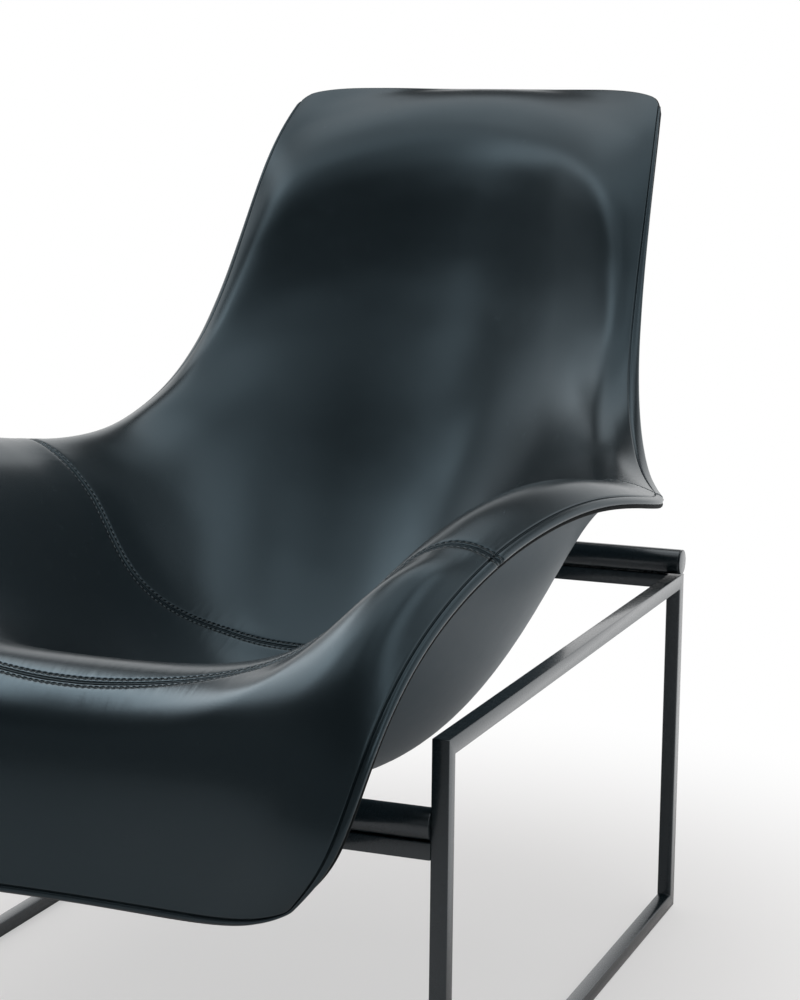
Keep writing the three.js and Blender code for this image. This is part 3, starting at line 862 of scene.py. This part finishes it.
@dataclass
class LeatherPanel(ShellSheet):
    """One sewn panel of the sitter's side, leather with its foam, with a band along its free edges."""

    replaces: tuple[str, ...] = ()
    leather: float = 2.4 * MM
    backing: float = 7.5 * MM
    foam_ramp: float = 25 * MM
    curl: float = 3.0 * MM
    crease_depth: float = 1.5 * MM
    crease_width: float = 0.9 * MM
    band_rise: float = 0.9 * MM
    band_corner: float = 0.8
    lip_rise: float = 0.5 * MM
    lip_start: float = 2 * MM
    lip_fade: float = 8 * MM
    seam_drop: float = 2.6 * MM
    seam_roll: float = 3.0 * MM
    seam_puff: float = 0.8 * MM
    puff_reach: float = 9.0 * MM
    stitch_drop: float = 0.45 * MM
    stitch_width: float = 1.1 * MM
    pucker: float = 0.28 * MM
    pucker_reach: float = 14 * MM
    pucker_lengths: tuple[float, ...] = (13 * MM, 19 * MM, 31 * MM)
    pucker_drift: tuple[float, float] = (1.7, 7.3)
    pucker_phase: float = 2.1
    pucker_beat: tuple[float, float, float] = (0.45, 170 * MM, 0.8)
    unevenness: tuple[float, ...] = (0.35 * MM, 0.12 * MM)
    unevenness_lengths: tuple[float, ...] = (90 * MM, 36 * MM)
    front_roll: float = 0.0
    roll_place: float = 55 * MM
    roll_fall: float = 170 * MM

    def pucker_wave(self) -> np.ndarray:
        """Height of the small creases that run off a seam, from -1 to 1, along the sheet's rows."""
        wave = np.zeros_like(self.beside)
        rise, slowness = self.pucker_drift
        for number, length in enumerate(self.pucker_lengths):
            drift = rise * np.sin(2 * math.pi * self.beside / (slowness * length) + number)
            wave += np.sin(2 * math.pi * self.beside / length + drift + self.pucker_phase * number)
        beat, beat_length, beat_phase = self.pucker_beat
        swell = 1 - beat + beat * np.sin(2 * math.pi * self.beside / beat_length + beat_phase)
        return wave * swell / len(self.pucker_lengths)

    def seam_depth(self, distance: np.ndarray) -> np.ndarray:
        """Depth of the leather near a seam: rolled into it, puffed beside it, drawn in at the stitches."""
        share = distance / self.puff_reach
        roll = quarter_round(distance, self.seam_roll) * self.seam_drop / self.seam_roll
        beside_row = (distance - SEAM_STEPS[STITCH_STEP]) / self.stitch_width
        stitches = self.stitch_drop * np.exp(-(beside_row**2))
        puff = self.seam_puff * share * np.exp(1 - share)
        creases = self.pucker * np.exp(-distance / self.pucker_reach) * self.pucker_wave()
        return roll + stitches - puff + creases

    def band_depth(self) -> np.ndarray:
        """Depth of the pressed band along the free edges, with the crease that sets it off."""
        fold = self.from_edge / self.band
        if self.ends[1] is PanelEnd.FOOT:
            fold = soft_least(fold, self.from_ends[1] / FOOT_BAND, self.band_corner)
        past = (fold - 1) * self.band
        crease = self.crease_depth * np.exp(-((past / self.crease_width) ** 2))
        rise = self.band_rise * np.clip(1 - ((fold - 0.5) / 0.5) ** 2, 0, 1)
        fade = np.exp(-np.clip(past, 0, None) / self.lip_fade)
        lip = self.lip_rise * np.clip(past / self.lip_start, 0, 1) * fade
        return crease - rise - lip + quarter_round(self.free_distance(), self.curl)

    def padding(self) -> np.ndarray:
        """Height of the padding over the plain surface, with the roll along the first row."""
        rise = ease(self.from_ends[0] / self.roll_place)
        fall = ease((self.from_ends[0] - self.roll_place) / self.roll_fall)
        inside = ease(self.from_edge / self.roll_place)
        return self.front_roll * rise * (1 - fall) * inside + padding_height(self.across, self.station)

    def depth(self) -> np.ndarray:
        """Depth of the leather's face: the band, the seams, the padding and a little unevenness."""
        depth = self.band_depth() - self.padding()
        for end, distance in zip(self.ends, self.from_ends):
            if end is PanelEnd.SEAM:
                depth = depth + self.seam_depth(distance)
        points = self.surface.point(self.across, self.station).reshape(-1, 3)
        for height, length in zip(self.unevenness, self.unevenness_lengths):
            ripple = [noise.noise(Vector(point)) for point in points / length]
            depth = depth + height * np.array(ripple).reshape(depth.shape)
        return depth

    def wall(self) -> np.ndarray:
        """Leather and foam, thin at the edges and the seams."""
        nearest = np.minimum(self.free_distance(), np.minimum(*self.from_ends))
        full = self.surface.thickness(self.across, self.station) - self.backing + self.padding()
        return self.leather + np.clip(full - self.leather, 0, None) * ease(nearest / self.foam_ramp)

    def dressed(self) -> bpy.types.Object:
        """Builds the panel, gives it its leather and puts it in its nodes' place.

        Returns:
            The finished piece.
        """
        piece = self.build()
        dress(piece, SEAT_LEATHER)
        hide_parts(*self.replaces)
        return piece

    def coordinates(self, points: np.ndarray) -> dict[str, np.ndarray]:
        """Distance along the stitches and from the seam, for each end that is a seam."""
        found = {}
        rows = (STITCH_STEP, -1 - STITCH_STEP)
        for title, end, row, distance in zip(SEAM_MAPS, self.ends, rows, self.from_ends):
            along = np.broadcast_to(run_along(points[row]), distance.shape)
            away = distance if end is PanelEnd.SEAM else np.full(distance.shape, NO_SEAM)
            found[title] = np.stack([along, away], axis=-1)
        return found

    def stitch_line(self, end: int) -> np.ndarray:
        """Points of the stitch row beside a seam.

        Args:
            end: 0 for the seam at the first row, 1 for the one at the last row.

        Returns:
            The points, from the left edge to the right edge.
        """
        return self.faces()[STITCH_STEP if end == 0 else -1 - STITCH_STEP]


@dataclass
class OuterCover(ShellSheet):
    """The leather cover of the shell's outside, with the moulded shell that it is bonded to."""

    half_columns: int = 60
    faces_sitter: bool = False
    rim: float = 8.2 * MM
    rim_reach: float = 32 * MM
    rim_curl: float = 2.0 * MM
    wall_middle: float = 7.0 * MM
    wall_rim: float = 1.5 * MM

    def depth(self) -> np.ndarray:
        """Depth of the cover's face: the shell's thickness, drawn in to a slim rim."""
        nearest = self.free_distance()
        fade = np.exp(-((nearest / self.rim_reach) ** 2))
        slim = (self.surface.thickness_edge - self.rim) * fade
        full = self.surface.thickness(self.across, self.station)
        return full - slim - quarter_round(nearest, self.rim_curl)

    def wall(self) -> np.ndarray:
        """Cover and moulded shell, thin at the rim."""
        share = np.clip(self.free_distance() / self.rim_reach, 0, 1)
        return self.wall_rim + (self.wall_middle - self.wall_rim) * share

    def dressed(self) -> bpy.types.Object:
        """Builds the cover, gives it its leather, paled by painted reflection, and puts it in its nodes'
        place.

        Returns:
            The finished piece.
        """
        piece = self.build()
        dress(piece, COVER_LEATHER_PAINTED_REFLECTION)
        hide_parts("outer_cover", "moulded_shell")
        return piece


def curve_through(name: str, points: np.ndarray, cyclic: bool) -> bpy.types.Object:
    """Makes a curve of straight steps through points.

    Args:
        name: the curve's name.
        points: the points, in metres.
        cyclic: whether the last point joins the first.

    Returns:
        The curve's object.
    """
    curve = bpy.data.curves.new(name, "CURVE")
    curve.dimensions = "3D"
    curve.twist_mode = "MINIMUM"
    line = curve.splines.new("POLY")
    line.points.add(len(points) - 1)
    for place, point in zip(line.points, points):
        place.co = (*point, 1.0)
    line.use_cyclic_u = cyclic
    piece = bpy.data.objects.new(name, curve)
    bpy.context.scene.collection.objects.link(piece)
    return piece


CORD_FACETS = 3


def cord(name: str, points: np.ndarray, radius: float, cyclic: bool) -> bpy.types.Object:
    """Models a round cord.

    Args:
        name: the piece's name.
        points: points of its middle line, in metres.
        radius: its radius, in metres.
        cyclic: whether it closes on itself; an open cord has flat ends.

    Returns:
        The new piece, riding on the shell.
    """
    piece = curve_through(name, points, cyclic)
    piece.data.bevel_depth = radius
    piece.data.bevel_resolution = CORD_FACETS
    piece.data.use_fill_caps = not cyclic
    pick(piece)
    bpy.ops.object.convert(target="MESH")
    piece = named(name)
    bpy.ops.object.shade_smooth()
    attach(piece, SHELL_BODY)
    return piece


@dataclass
class EdgeWelt:
    """The thin welt between the leather panels and the outer cover, all round the shell."""

    surface: ShellSurface
    radius: float = 2.2 * MM
    depth: float = 4.9 * MM
    inset: float = 0.4 * MM
    steps: int = 140

    def loop(self) -> np.ndarray:
        """Points of the welt's middle line, round the whole edge."""
        last = float(self.surface.last)
        top = self.surface.rounded_top()
        start = float(top(np.ones(1))[0])
        down = np.linspace(start, last, self.steps, endpoint=False)
        right_to_left = np.linspace(1, -1, self.steps, endpoint=False)
        across = np.concatenate([np.ones(len(down)), right_to_left, -np.ones(len(down)), -right_to_left])
        foot = np.full(len(right_to_left), last)
        station = np.concatenate([down, foot, last + start - down, top(right_to_left)])
        points = self.surface.point(across, station)
        out = self.surface.outward(across, station)
        ahead = np.roll(points, -1, axis=0) - np.roll(points, 1, axis=0)
        aside = np.cross(ahead, out)
        aside /= np.linalg.norm(aside, axis=1, keepdims=True)
        return points + out * self.depth - aside * self.inset

    def build(self) -> bpy.types.Object:
        """Models the welt as a cord along its line, dresses it and returns it."""
        piece = cord("edge_welt", self.loop(), self.radius, cyclic=True)
        dress(piece, EDGE_LEATHER)
        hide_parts("edge_binding")
        return piece


@dataclass
class SeamBead:
    """The folded edge of leather that shows as a fine bead along a seam."""

    name: str
    surface: ShellSurface
    line: RowLine
    radius: float = 0.9 * MM
    depth: float = 0.8 * MM
    reach: float = 0.994
    steps: int = 240

    def build(self) -> bpy.types.Object:
        """Models the bead as a cord along the seam, dresses it and returns it."""
        across = np.linspace(-self.reach, self.reach, self.steps)
        station = self.line(across)
        depth = self.depth - padding_height(across, station)
        points = self.surface.point(across, station)
        points = points + self.surface.outward(across, station) * depth[:, None]
        piece = cord(self.name, points, self.radius, cyclic=False)
        dress(piece, WELT_LEATHER)
        return piece


@dataclass
class StitchRow:
    """One row of stitches, laid along a line on the leather."""

    name: str
    line: np.ndarray
    pitch: float = STITCH_PITCH
    length: float = 3.3 * MM
    thread: float = 1.4 * MM

    def build(self) -> bpy.types.Object:
        """Models one stitch, repeats it along the line and dresses the row.

        Returns:
            The finished piece.
        """
        path = curve_through(self.name + "_path", self.line, cyclic=False)
        deselect()
        bpy.ops.mesh.primitive_uv_sphere_add(segments=8, ring_count=6, radius=0.5)
        piece = named(self.name)
        piece.scale = (self.length, self.thread, self.thread)
        piece.location = (self.pitch / 2, 0, 0)
        settle(piece)
        repeat = piece.modifiers.new("repeat", "ARRAY")
        repeat.fit_type = "FIT_CURVE"
        repeat.curve = path
        repeat.use_relative_offset = False
        repeat.use_constant_offset = True
        repeat.constant_offset_displace = (self.pitch, 0, 0)
        follow = piece.modifiers.new("follow", "CURVE")
        follow.object = path
        follow.deform_axis = "POS_X"
        apply_modifiers(piece)
        bpy.ops.object.shade_smooth()
        bpy.data.objects.remove(path)
        dress(piece, THREAD)
        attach(piece, SHELL_BODY)
        return piece


@dataclass
class Upholstery:
    """Everything that covers the shell: leather panels, stitches, seam beads, the welt and the cover."""

    surface: ShellSurface = field(default_factory=ShellSurface)

    def build(self) -> list[bpy.types.Object]:
        """Builds the sheets in order.

        Returns:
            The finished pieces.
        """
        surface = self.surface
        top, foot = surface.rounded_top(), surface.level(surface.last)
        back, front = surface.seam(BACK_SEAM), surface.seam(FRONT_SEAM)
        panels = [
            LeatherPanel("back_upholstery", surface, top, back, (PanelEnd.TOP, PanelEnd.SEAM), 74,
                         replaces=("back_leather", "back_foam")),
            LeatherPanel("seat_upholstery", surface, back, front, (PanelEnd.SEAM, PanelEnd.SEAM), 60,
                         replaces=("seat_leather", "seat_foam")),
            LeatherPanel("apron_upholstery", surface, front, foot, (PanelEnd.SEAM, PanelEnd.FOOT), 40,
                         replaces=("apron_leather",), front_roll=9.0 * MM),
        ]
        pieces = [panel.dressed() for panel in panels]
        rows = [("back_seam_upper", panels[0], 1), ("back_seam_lower", panels[1], 0),
                ("front_seam_upper", panels[1], 1), ("front_seam_lower", panels[2], 0)]
        for name, panel, end in rows:
            pieces.append(StitchRow(f"{name}_stitches", panel.stitch_line(end)).build())
        pieces += [SeamBead(name, surface, line).build() for name, line in
                   (("back_seam_bead", back), ("front_seam_bead", front))]
        cover = OuterCover("shell_cover", surface, top, foot, (PanelEnd.TOP, PanelEnd.FOOT), 120)
        pieces += [cover.dressed(), EdgeWelt(surface).build()]
        return pieces


# Frame


@dataclass
class SledFrame:
    """The welded frame: two side frames, two cross bars, two rods, the rod's caps and the glides."""

    bar_edge: float = 1.1 * MM
    rod_edge: float = 0.8 * MM
    glide_edge: float = 0.5 * MM
    rod_sides: int = 64

    def side_frame(self, side: str) -> bpy.types.Object:
        """Models a side frame: a plate the frame's size, its middle cut out, given the bar's width.

        Args:
            side: left or right.

        Returns:
            The finished piece.
        """
        bars = [f"{side}_{bar}" for bar in ("floor_runner", "rear_leg", "top_rail", "front_leg")]
        corners = [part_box(bar) for bar in bars]
        low = Vector([min(box[0][k] for box in corners) for k in range(3)])
        high = Vector([max(box[1][k] for box in corners) for k in range(3)])
        bar = high.x - low.x
        deselect()
        bpy.ops.mesh.primitive_plane_add(size=1.0, rotation=(0, math.radians(90), 0))
        piece = named(f"{side}_side_frame")
        piece.scale = (high.z - low.z, high.y - low.y, 1.0)
        piece.location = (low + high) / 2
        settle(piece)
        bpy.ops.object.mode_set(mode="EDIT")
        bpy.ops.mesh.select_all(action="SELECT")
        bpy.ops.mesh.inset(thickness=bar, use_boundary=True)
        bpy.ops.mesh.delete(type="FACE")
        bpy.ops.object.mode_set(mode="OBJECT")
        width = piece.modifiers.new("bar width", "SOLIDIFY")
        width.thickness = bar
        width.offset = 0.0
        soften_edges(piece, self.bar_edge)
        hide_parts(*bars)
        return piece

    def cross_bar(self, node: str, name: str) -> bpy.types.Object:
        """Models a cross bar with rounded edges in the place of its node."""
        low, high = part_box(node)
        deselect()
        bpy.ops.mesh.primitive_cube_add(size=1.0, location=(low + high) / 2, scale=high - low)
        piece = named(name)
        settle(piece)
        soften_edges(piece, self.bar_edge)
        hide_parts(node)
        return piece

    def round_bar(self, name: str, low: Vector, high: Vector) -> bpy.types.Object:
        """Models a round bar along X with softened ends.

        Args:
            name: the piece's name.
            low: least corner of its box.
            high: greatest corner of its box.

        Returns:
            The new piece.
        """
        deselect()
        bpy.ops.mesh.primitive_cylinder_add(vertices=self.rod_sides, radius=(high.z - low.z) / 2,
                                            depth=high.x - low.x, location=(low + high) / 2,
                                            rotation=(0, math.radians(90), 0))
        piece = named(name)
        settle(piece)
        soften_edges(piece, self.rod_edge)
        return piece

    def rod(self, node: str, name: str) -> bpy.types.Object:
        """Models a rod in the place of its node."""
        piece = self.round_bar(name, *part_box(node))
        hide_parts(node)
        return piece

    def cap(self, side: str, sign: int) -> bpy.types.Object:
        """Models the flat cap on one end of the rear rod.

        Args:
            side: left or right.
            sign: -1 or 1, the way along X that the cap faces.

        Returns:
            The finished piece.
        """
        low, high = (corner.copy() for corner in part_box(f"{side}_rod_cap"))
        rod_low, rod_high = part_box("rear_slide_rod")
        if sign > 0:
            low.x = rod_high.x
        else:
            high.x = rod_low.x
        piece = self.round_bar(f"{side}_rear_rod_cap", low, high)
        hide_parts(f"{side}_rod_cap")
        return piece

    def glide(self, side: str, end: str) -> bpy.types.Object:
        """Models a glide with softened edges in the place of its node."""
        node = f"{side}_{end}_glide"
        piece = copy_of_node(node, f"{node}_pad")
        soften_edges(piece, self.glide_edge)
        dress(piece, NYLON)
        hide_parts(node)
        return piece

    def build(self) -> list[bpy.types.Object]:
        """Builds the frame's pieces and lets them ride on the frame.

        Returns:
            The finished pieces.
        """
        painted = [self.side_frame(side) for side in ("left", "right")]
        painted += [self.cross_bar(f"{end}_cross_bar", f"{end}_bar") for end in ("front", "rear")]
        painted += [self.rod(f"{end}_slide_rod", f"{end}_rod") for end in ("front", "rear")]
        painted += [self.cap("left", -1), self.cap("right", 1)]
        for piece in painted:
            dress(piece, FRAME_PAINT)
        glides = [self.glide(side, end) for side in ("left", "right") for end in ("front", "rear")]
        for piece in painted + glides:
            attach(piece, FRAME_BODY)
        return painted + glides


@dataclass
class SlideRunners:
    """The four runners that the shell slides on, and their hidden screws."""

    edge: float = 1.6 * MM

    def build(self) -> list[bpy.types.Object]:
        """Models each runner from its node with softened edges, and gives the screws their plating.

        Returns:
            The finished runners.
        """
        pieces = []
        for side in ("left", "right"):
            for end in ("front", "rear"):
                node = f"{side}_{end}_runner"
                piece = copy_of_node(node, f"{node}_web")
                soften_edges(piece, self.edge)
                dress(piece, NYLON)
                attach(piece, SHELL_BODY)
                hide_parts(node)
                pieces.append(piece)
        for name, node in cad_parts.items():
            if "screw" in name:
                node.data.materials.clear()
                node.data.materials.append(ZINC.material())
        return pieces


# Studio


@dataclass(frozen=True)
class Softbox:
    """A soft level lamp over the chair, whose ends fade; its glow is its brightness, where 1 is white."""

    name: str
    place: tuple[float, float, float]
    size: tuple[float, float]
    fade: tuple[float, float]
    glow: float
    turn: float = 0.0
    layers: int = 4
    layer_gap: float = 0.02

    def build(self) -> None:
        """Adds the lamp to the scene as a few stacked panels, each a little larger than the one before."""
        for layer in range(self.layers):
            share = (2 * layer + 1) / self.layers - 1
            lamp = bpy.data.lights.new(self.name, "AREA")
            lamp.shape = "RECTANGLE"
            lamp.size, lamp.size_y = (side + share * fade for side, fade in zip(self.size, self.fade))
            lamp.energy = self.glow / self.layers * math.pi * lamp.size * lamp.size_y
            piece = bpy.data.objects.new(self.name, lamp)
            bpy.context.scene.collection.objects.link(piece)
            piece.location = Vector(self.place) + Vector((0, 0, layer * self.layer_gap))
            piece.rotation_euler.z = math.radians(self.turn)


SOFTBOXES = (
    Softbox("rear softbox", (0.3, 1.5, 4.5), (5.6, 2.6), (2.0, 0.8), 1.5),
    Softbox("overhead softbox", (-0.1, -0.6, 4.5), (5.4, 1.4), (2.0, 0.6), 1.05),
    Softbox("front softbox", (-1.2, -1.9, 4.5), (2.6, 1.1), (2.0, 0.6), 0.9),
    Softbox("front fill", (1.8, -1.9, 4.5), (2.4, 1.1), (1.6, 0.6), 0.5),
    Softbox("key softbox", (-2.2, 0.3, 3.0), (3.0, 0.7), (0.8, 0.4), 1.8, turn=-53.0),
    Softbox("near softbox", (-0.42, -0.36, 1.0), (0.75, 0.25), (0.1, 0.06), 2.6, turn=-63.0,
            layer_gap=0.005),
    Softbox("right softbox", (2.9, -1.6, 2.0), (1.2, 1.2), (0.4, 0.4), 1.8),
    Softbox("far left softbox", (-6.0, 1.1, 4.5), (2.6, 4.0), (1.0, 1.0), 1.0),
    Softbox("far right softbox", (4.4, 0.1, 4.5), (2.2, 3.8), (1.0, 1.0), 1.4),
)


@dataclass
class Studio:
    """Floor, background, lamps and the camera at the photograph's viewing angle."""

    azimuth: float = 21.461
    elevation: float = 9.756
    roll: float = 0.602
    focal_pixels: float = 2337.5
    image_height: int = 1000
    sensor: float = 36.0
    camera_from_frame: tuple[float, float, float] = (0.930735, -2.03052, 0.8673)
    floor_size: float = 40.0
    floor_tone: Colour = (0.72, 0.685, 0.67)
    floor_contrast: float = 1.03
    floor_patches: float = 1.5
    floor_roughness: float = 0.7
    floor_specular: float = 0.2
    fade_start: float = 0.3
    fade_end: float = 1.0
    fade_near: float = 0.5
    behind_start: float = -0.3
    behind_end: float = 0.4
    sky_low: float = 0.4
    sky_high: float = 0.7
    sky_tone: float = 0.08
    horizon_tone: float = 0.2

    def camera(self) -> None:
        """Sets the camera up from its angles, measured from the middle of the side frames on the floor."""
        low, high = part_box("right_floor_runner")
        origin = Vector((0, (low.y + high.y) / 2, low.z))
        angles = (self.azimuth, self.elevation, self.roll)
        azimuth, elevation, roll = (math.radians(angle) for angle in angles)
        ahead = Vector((-math.sin(azimuth) * math.cos(elevation), math.cos(azimuth) * math.cos(elevation),
                        -math.sin(elevation)))
        level = Vector((math.cos(azimuth), math.sin(azimuth), 0))
        rise = level.cross(ahead)
        right = math.cos(roll) * level + math.sin(roll) * rise
        up = math.cos(roll) * rise - math.sin(roll) * level
        lens = bpy.data.cameras.new("camera")
        lens.sensor_width = self.sensor
        lens.lens = self.focal_pixels / self.image_height * self.sensor
        piece = bpy.data.objects.new("camera", lens)
        bpy.context.scene.collection.objects.link(piece)
        turn = Matrix((right, up, -ahead)).transposed().to_4x4()
        piece.matrix_world = Matrix.Translation(origin + Vector(self.camera_from_frame)) @ turn
        bpy.context.scene.camera = piece

    def whiteness(self, sheet: NodeSheet, far: bpy.types.NodeSocket) -> bpy.types.NodeSocket:
        """How much of the floor is the white background.

        Args:
            sheet: the floor's nodes.
            far: a mask that rises from 0 at the chair to 1 in the distance.

        Returns:
            A mask for camera, mirror and see-through rays. Only the floor behind the chair mirrors as white.
        """
        path = sheet.add("ShaderNodeLightPath")
        seen = sheet.maths("MAXIMUM", path.outputs["Is Glossy Ray"], path.outputs["Is Transmission Ray"])
        paling = sheet.spread(far, self.fade_near, 1.0)
        camera = sheet.maths("MULTIPLY", path.outputs["Is Camera Ray"], paling)
        mirrored = sheet.maths("MULTIPLY", seen, sheet.maths("MULTIPLY", far, self.behind(sheet, "Object")))
        return sheet.maths("MAXIMUM", camera, mirrored)

    def behind(self, sheet: NodeSheet, coordinates: str) -> bpy.types.NodeSocket:
        """A mask that rises from 0 in front of the chair to 1 behind it, by a named kind of coordinates."""
        places = sheet.add("ShaderNodeTexCoord")
        depth = sheet.part(places.outputs[coordinates], "Y")
        return sheet.soft_step(depth, self.behind_start, self.behind_end)

    def world(self) -> None:
        """Sets a world that is white at the horizon behind the chair and a quiet grey elsewhere."""
        world = bpy.data.worlds.new("studio")
        world.use_nodes = True
        bpy.context.scene.world = world
        sheet = NodeSheet(world.node_tree)
        back = world.node_tree.nodes["Background"]
        coordinates = sheet.add("ShaderNodeTexCoord")
        rise = sheet.part(coordinates.outputs["Generated"], "Z")
        height = sheet.soft_step(rise, self.sky_low, self.sky_high)
        path = sheet.add("ShaderNodeLightPath")
        white = sheet.maths("MAXIMUM", path.outputs["Is Camera Ray"], self.behind(sheet, "Generated"))
        low = sheet.maths("MULTIPLY", white, sheet.maths("SUBTRACT", 1.0, height))
        quiet = sheet.spread(height, self.horizon_tone, self.sky_tone)
        sheet.link(sheet.maths("MAXIMUM", low, quiet), back.inputs["Color"])

    def floor(self) -> None:
        """Lays a pale floor that fades to the white background away from the chair."""
        deselect()
        bpy.ops.mesh.primitive_plane_add(size=self.floor_size)
        piece = named("floor")
        material = bpy.data.materials.new("pale floor")
        material.use_nodes = True
        sheet = NodeSheet(material.node_tree)
        surface = material.node_tree.nodes["Principled BSDF"]
        tone = place_group(sheet, tone_group(), self.floor_patches)
        paler = tuple(min(1.0, channel * self.floor_contrast) for channel in self.floor_tone)
        sheet.link(sheet.blend(tone.outputs["Clouds"], self.floor_tone, paler), surface.inputs["Base Color"])
        surface.inputs["Roughness"].default_value = self.floor_roughness
        surface.inputs["Specular IOR Level"].default_value = self.floor_specular
        coordinates = sheet.add("ShaderNodeTexCoord")
        distance = sheet.add("ShaderNodeVectorMath", operation="LENGTH")
        sheet.link(coordinates.outputs["Object"], distance.inputs[0])
        fade = sheet.soft_step(distance.outputs["Value"], self.fade_start, self.fade_end)
        white = sheet.add("ShaderNodeEmission")
        mixed = sheet.add("ShaderNodeMixShader")
        sheet.link(self.whiteness(sheet, fade), mixed.inputs[0])
        sheet.link(surface.outputs["BSDF"], mixed.inputs[1])
        sheet.link(white.outputs["Emission"], mixed.inputs[2])
        output = material.node_tree.nodes["Material Output"]
        sheet.link(mixed.outputs["Shader"], output.inputs["Surface"])
        piece.data.materials.append(material)

    def build(self) -> None:
        """Builds the whole studio."""
        self.camera()
        self.world()
        self.floor()
        for softbox in SOFTBOXES:
            softbox.build()
        bpy.context.scene.view_settings.view_transform = "Standard"


def main() -> None:
    """Builds the studio, the frame, the runners and the upholstery, and notes the sizes."""
    logging.basicConfig(level=logging.INFO, format="%(message)s")
    Studio().build()
    for assembly in (SledFrame(), SlideRunners(), Upholstery()):
        for piece in assembly.build():
            LOG.info("%s: %s has %d faces", type(assembly).__name__, piece.name, len(piece.data.polygons))


if __name__ == "__main__":
    main()
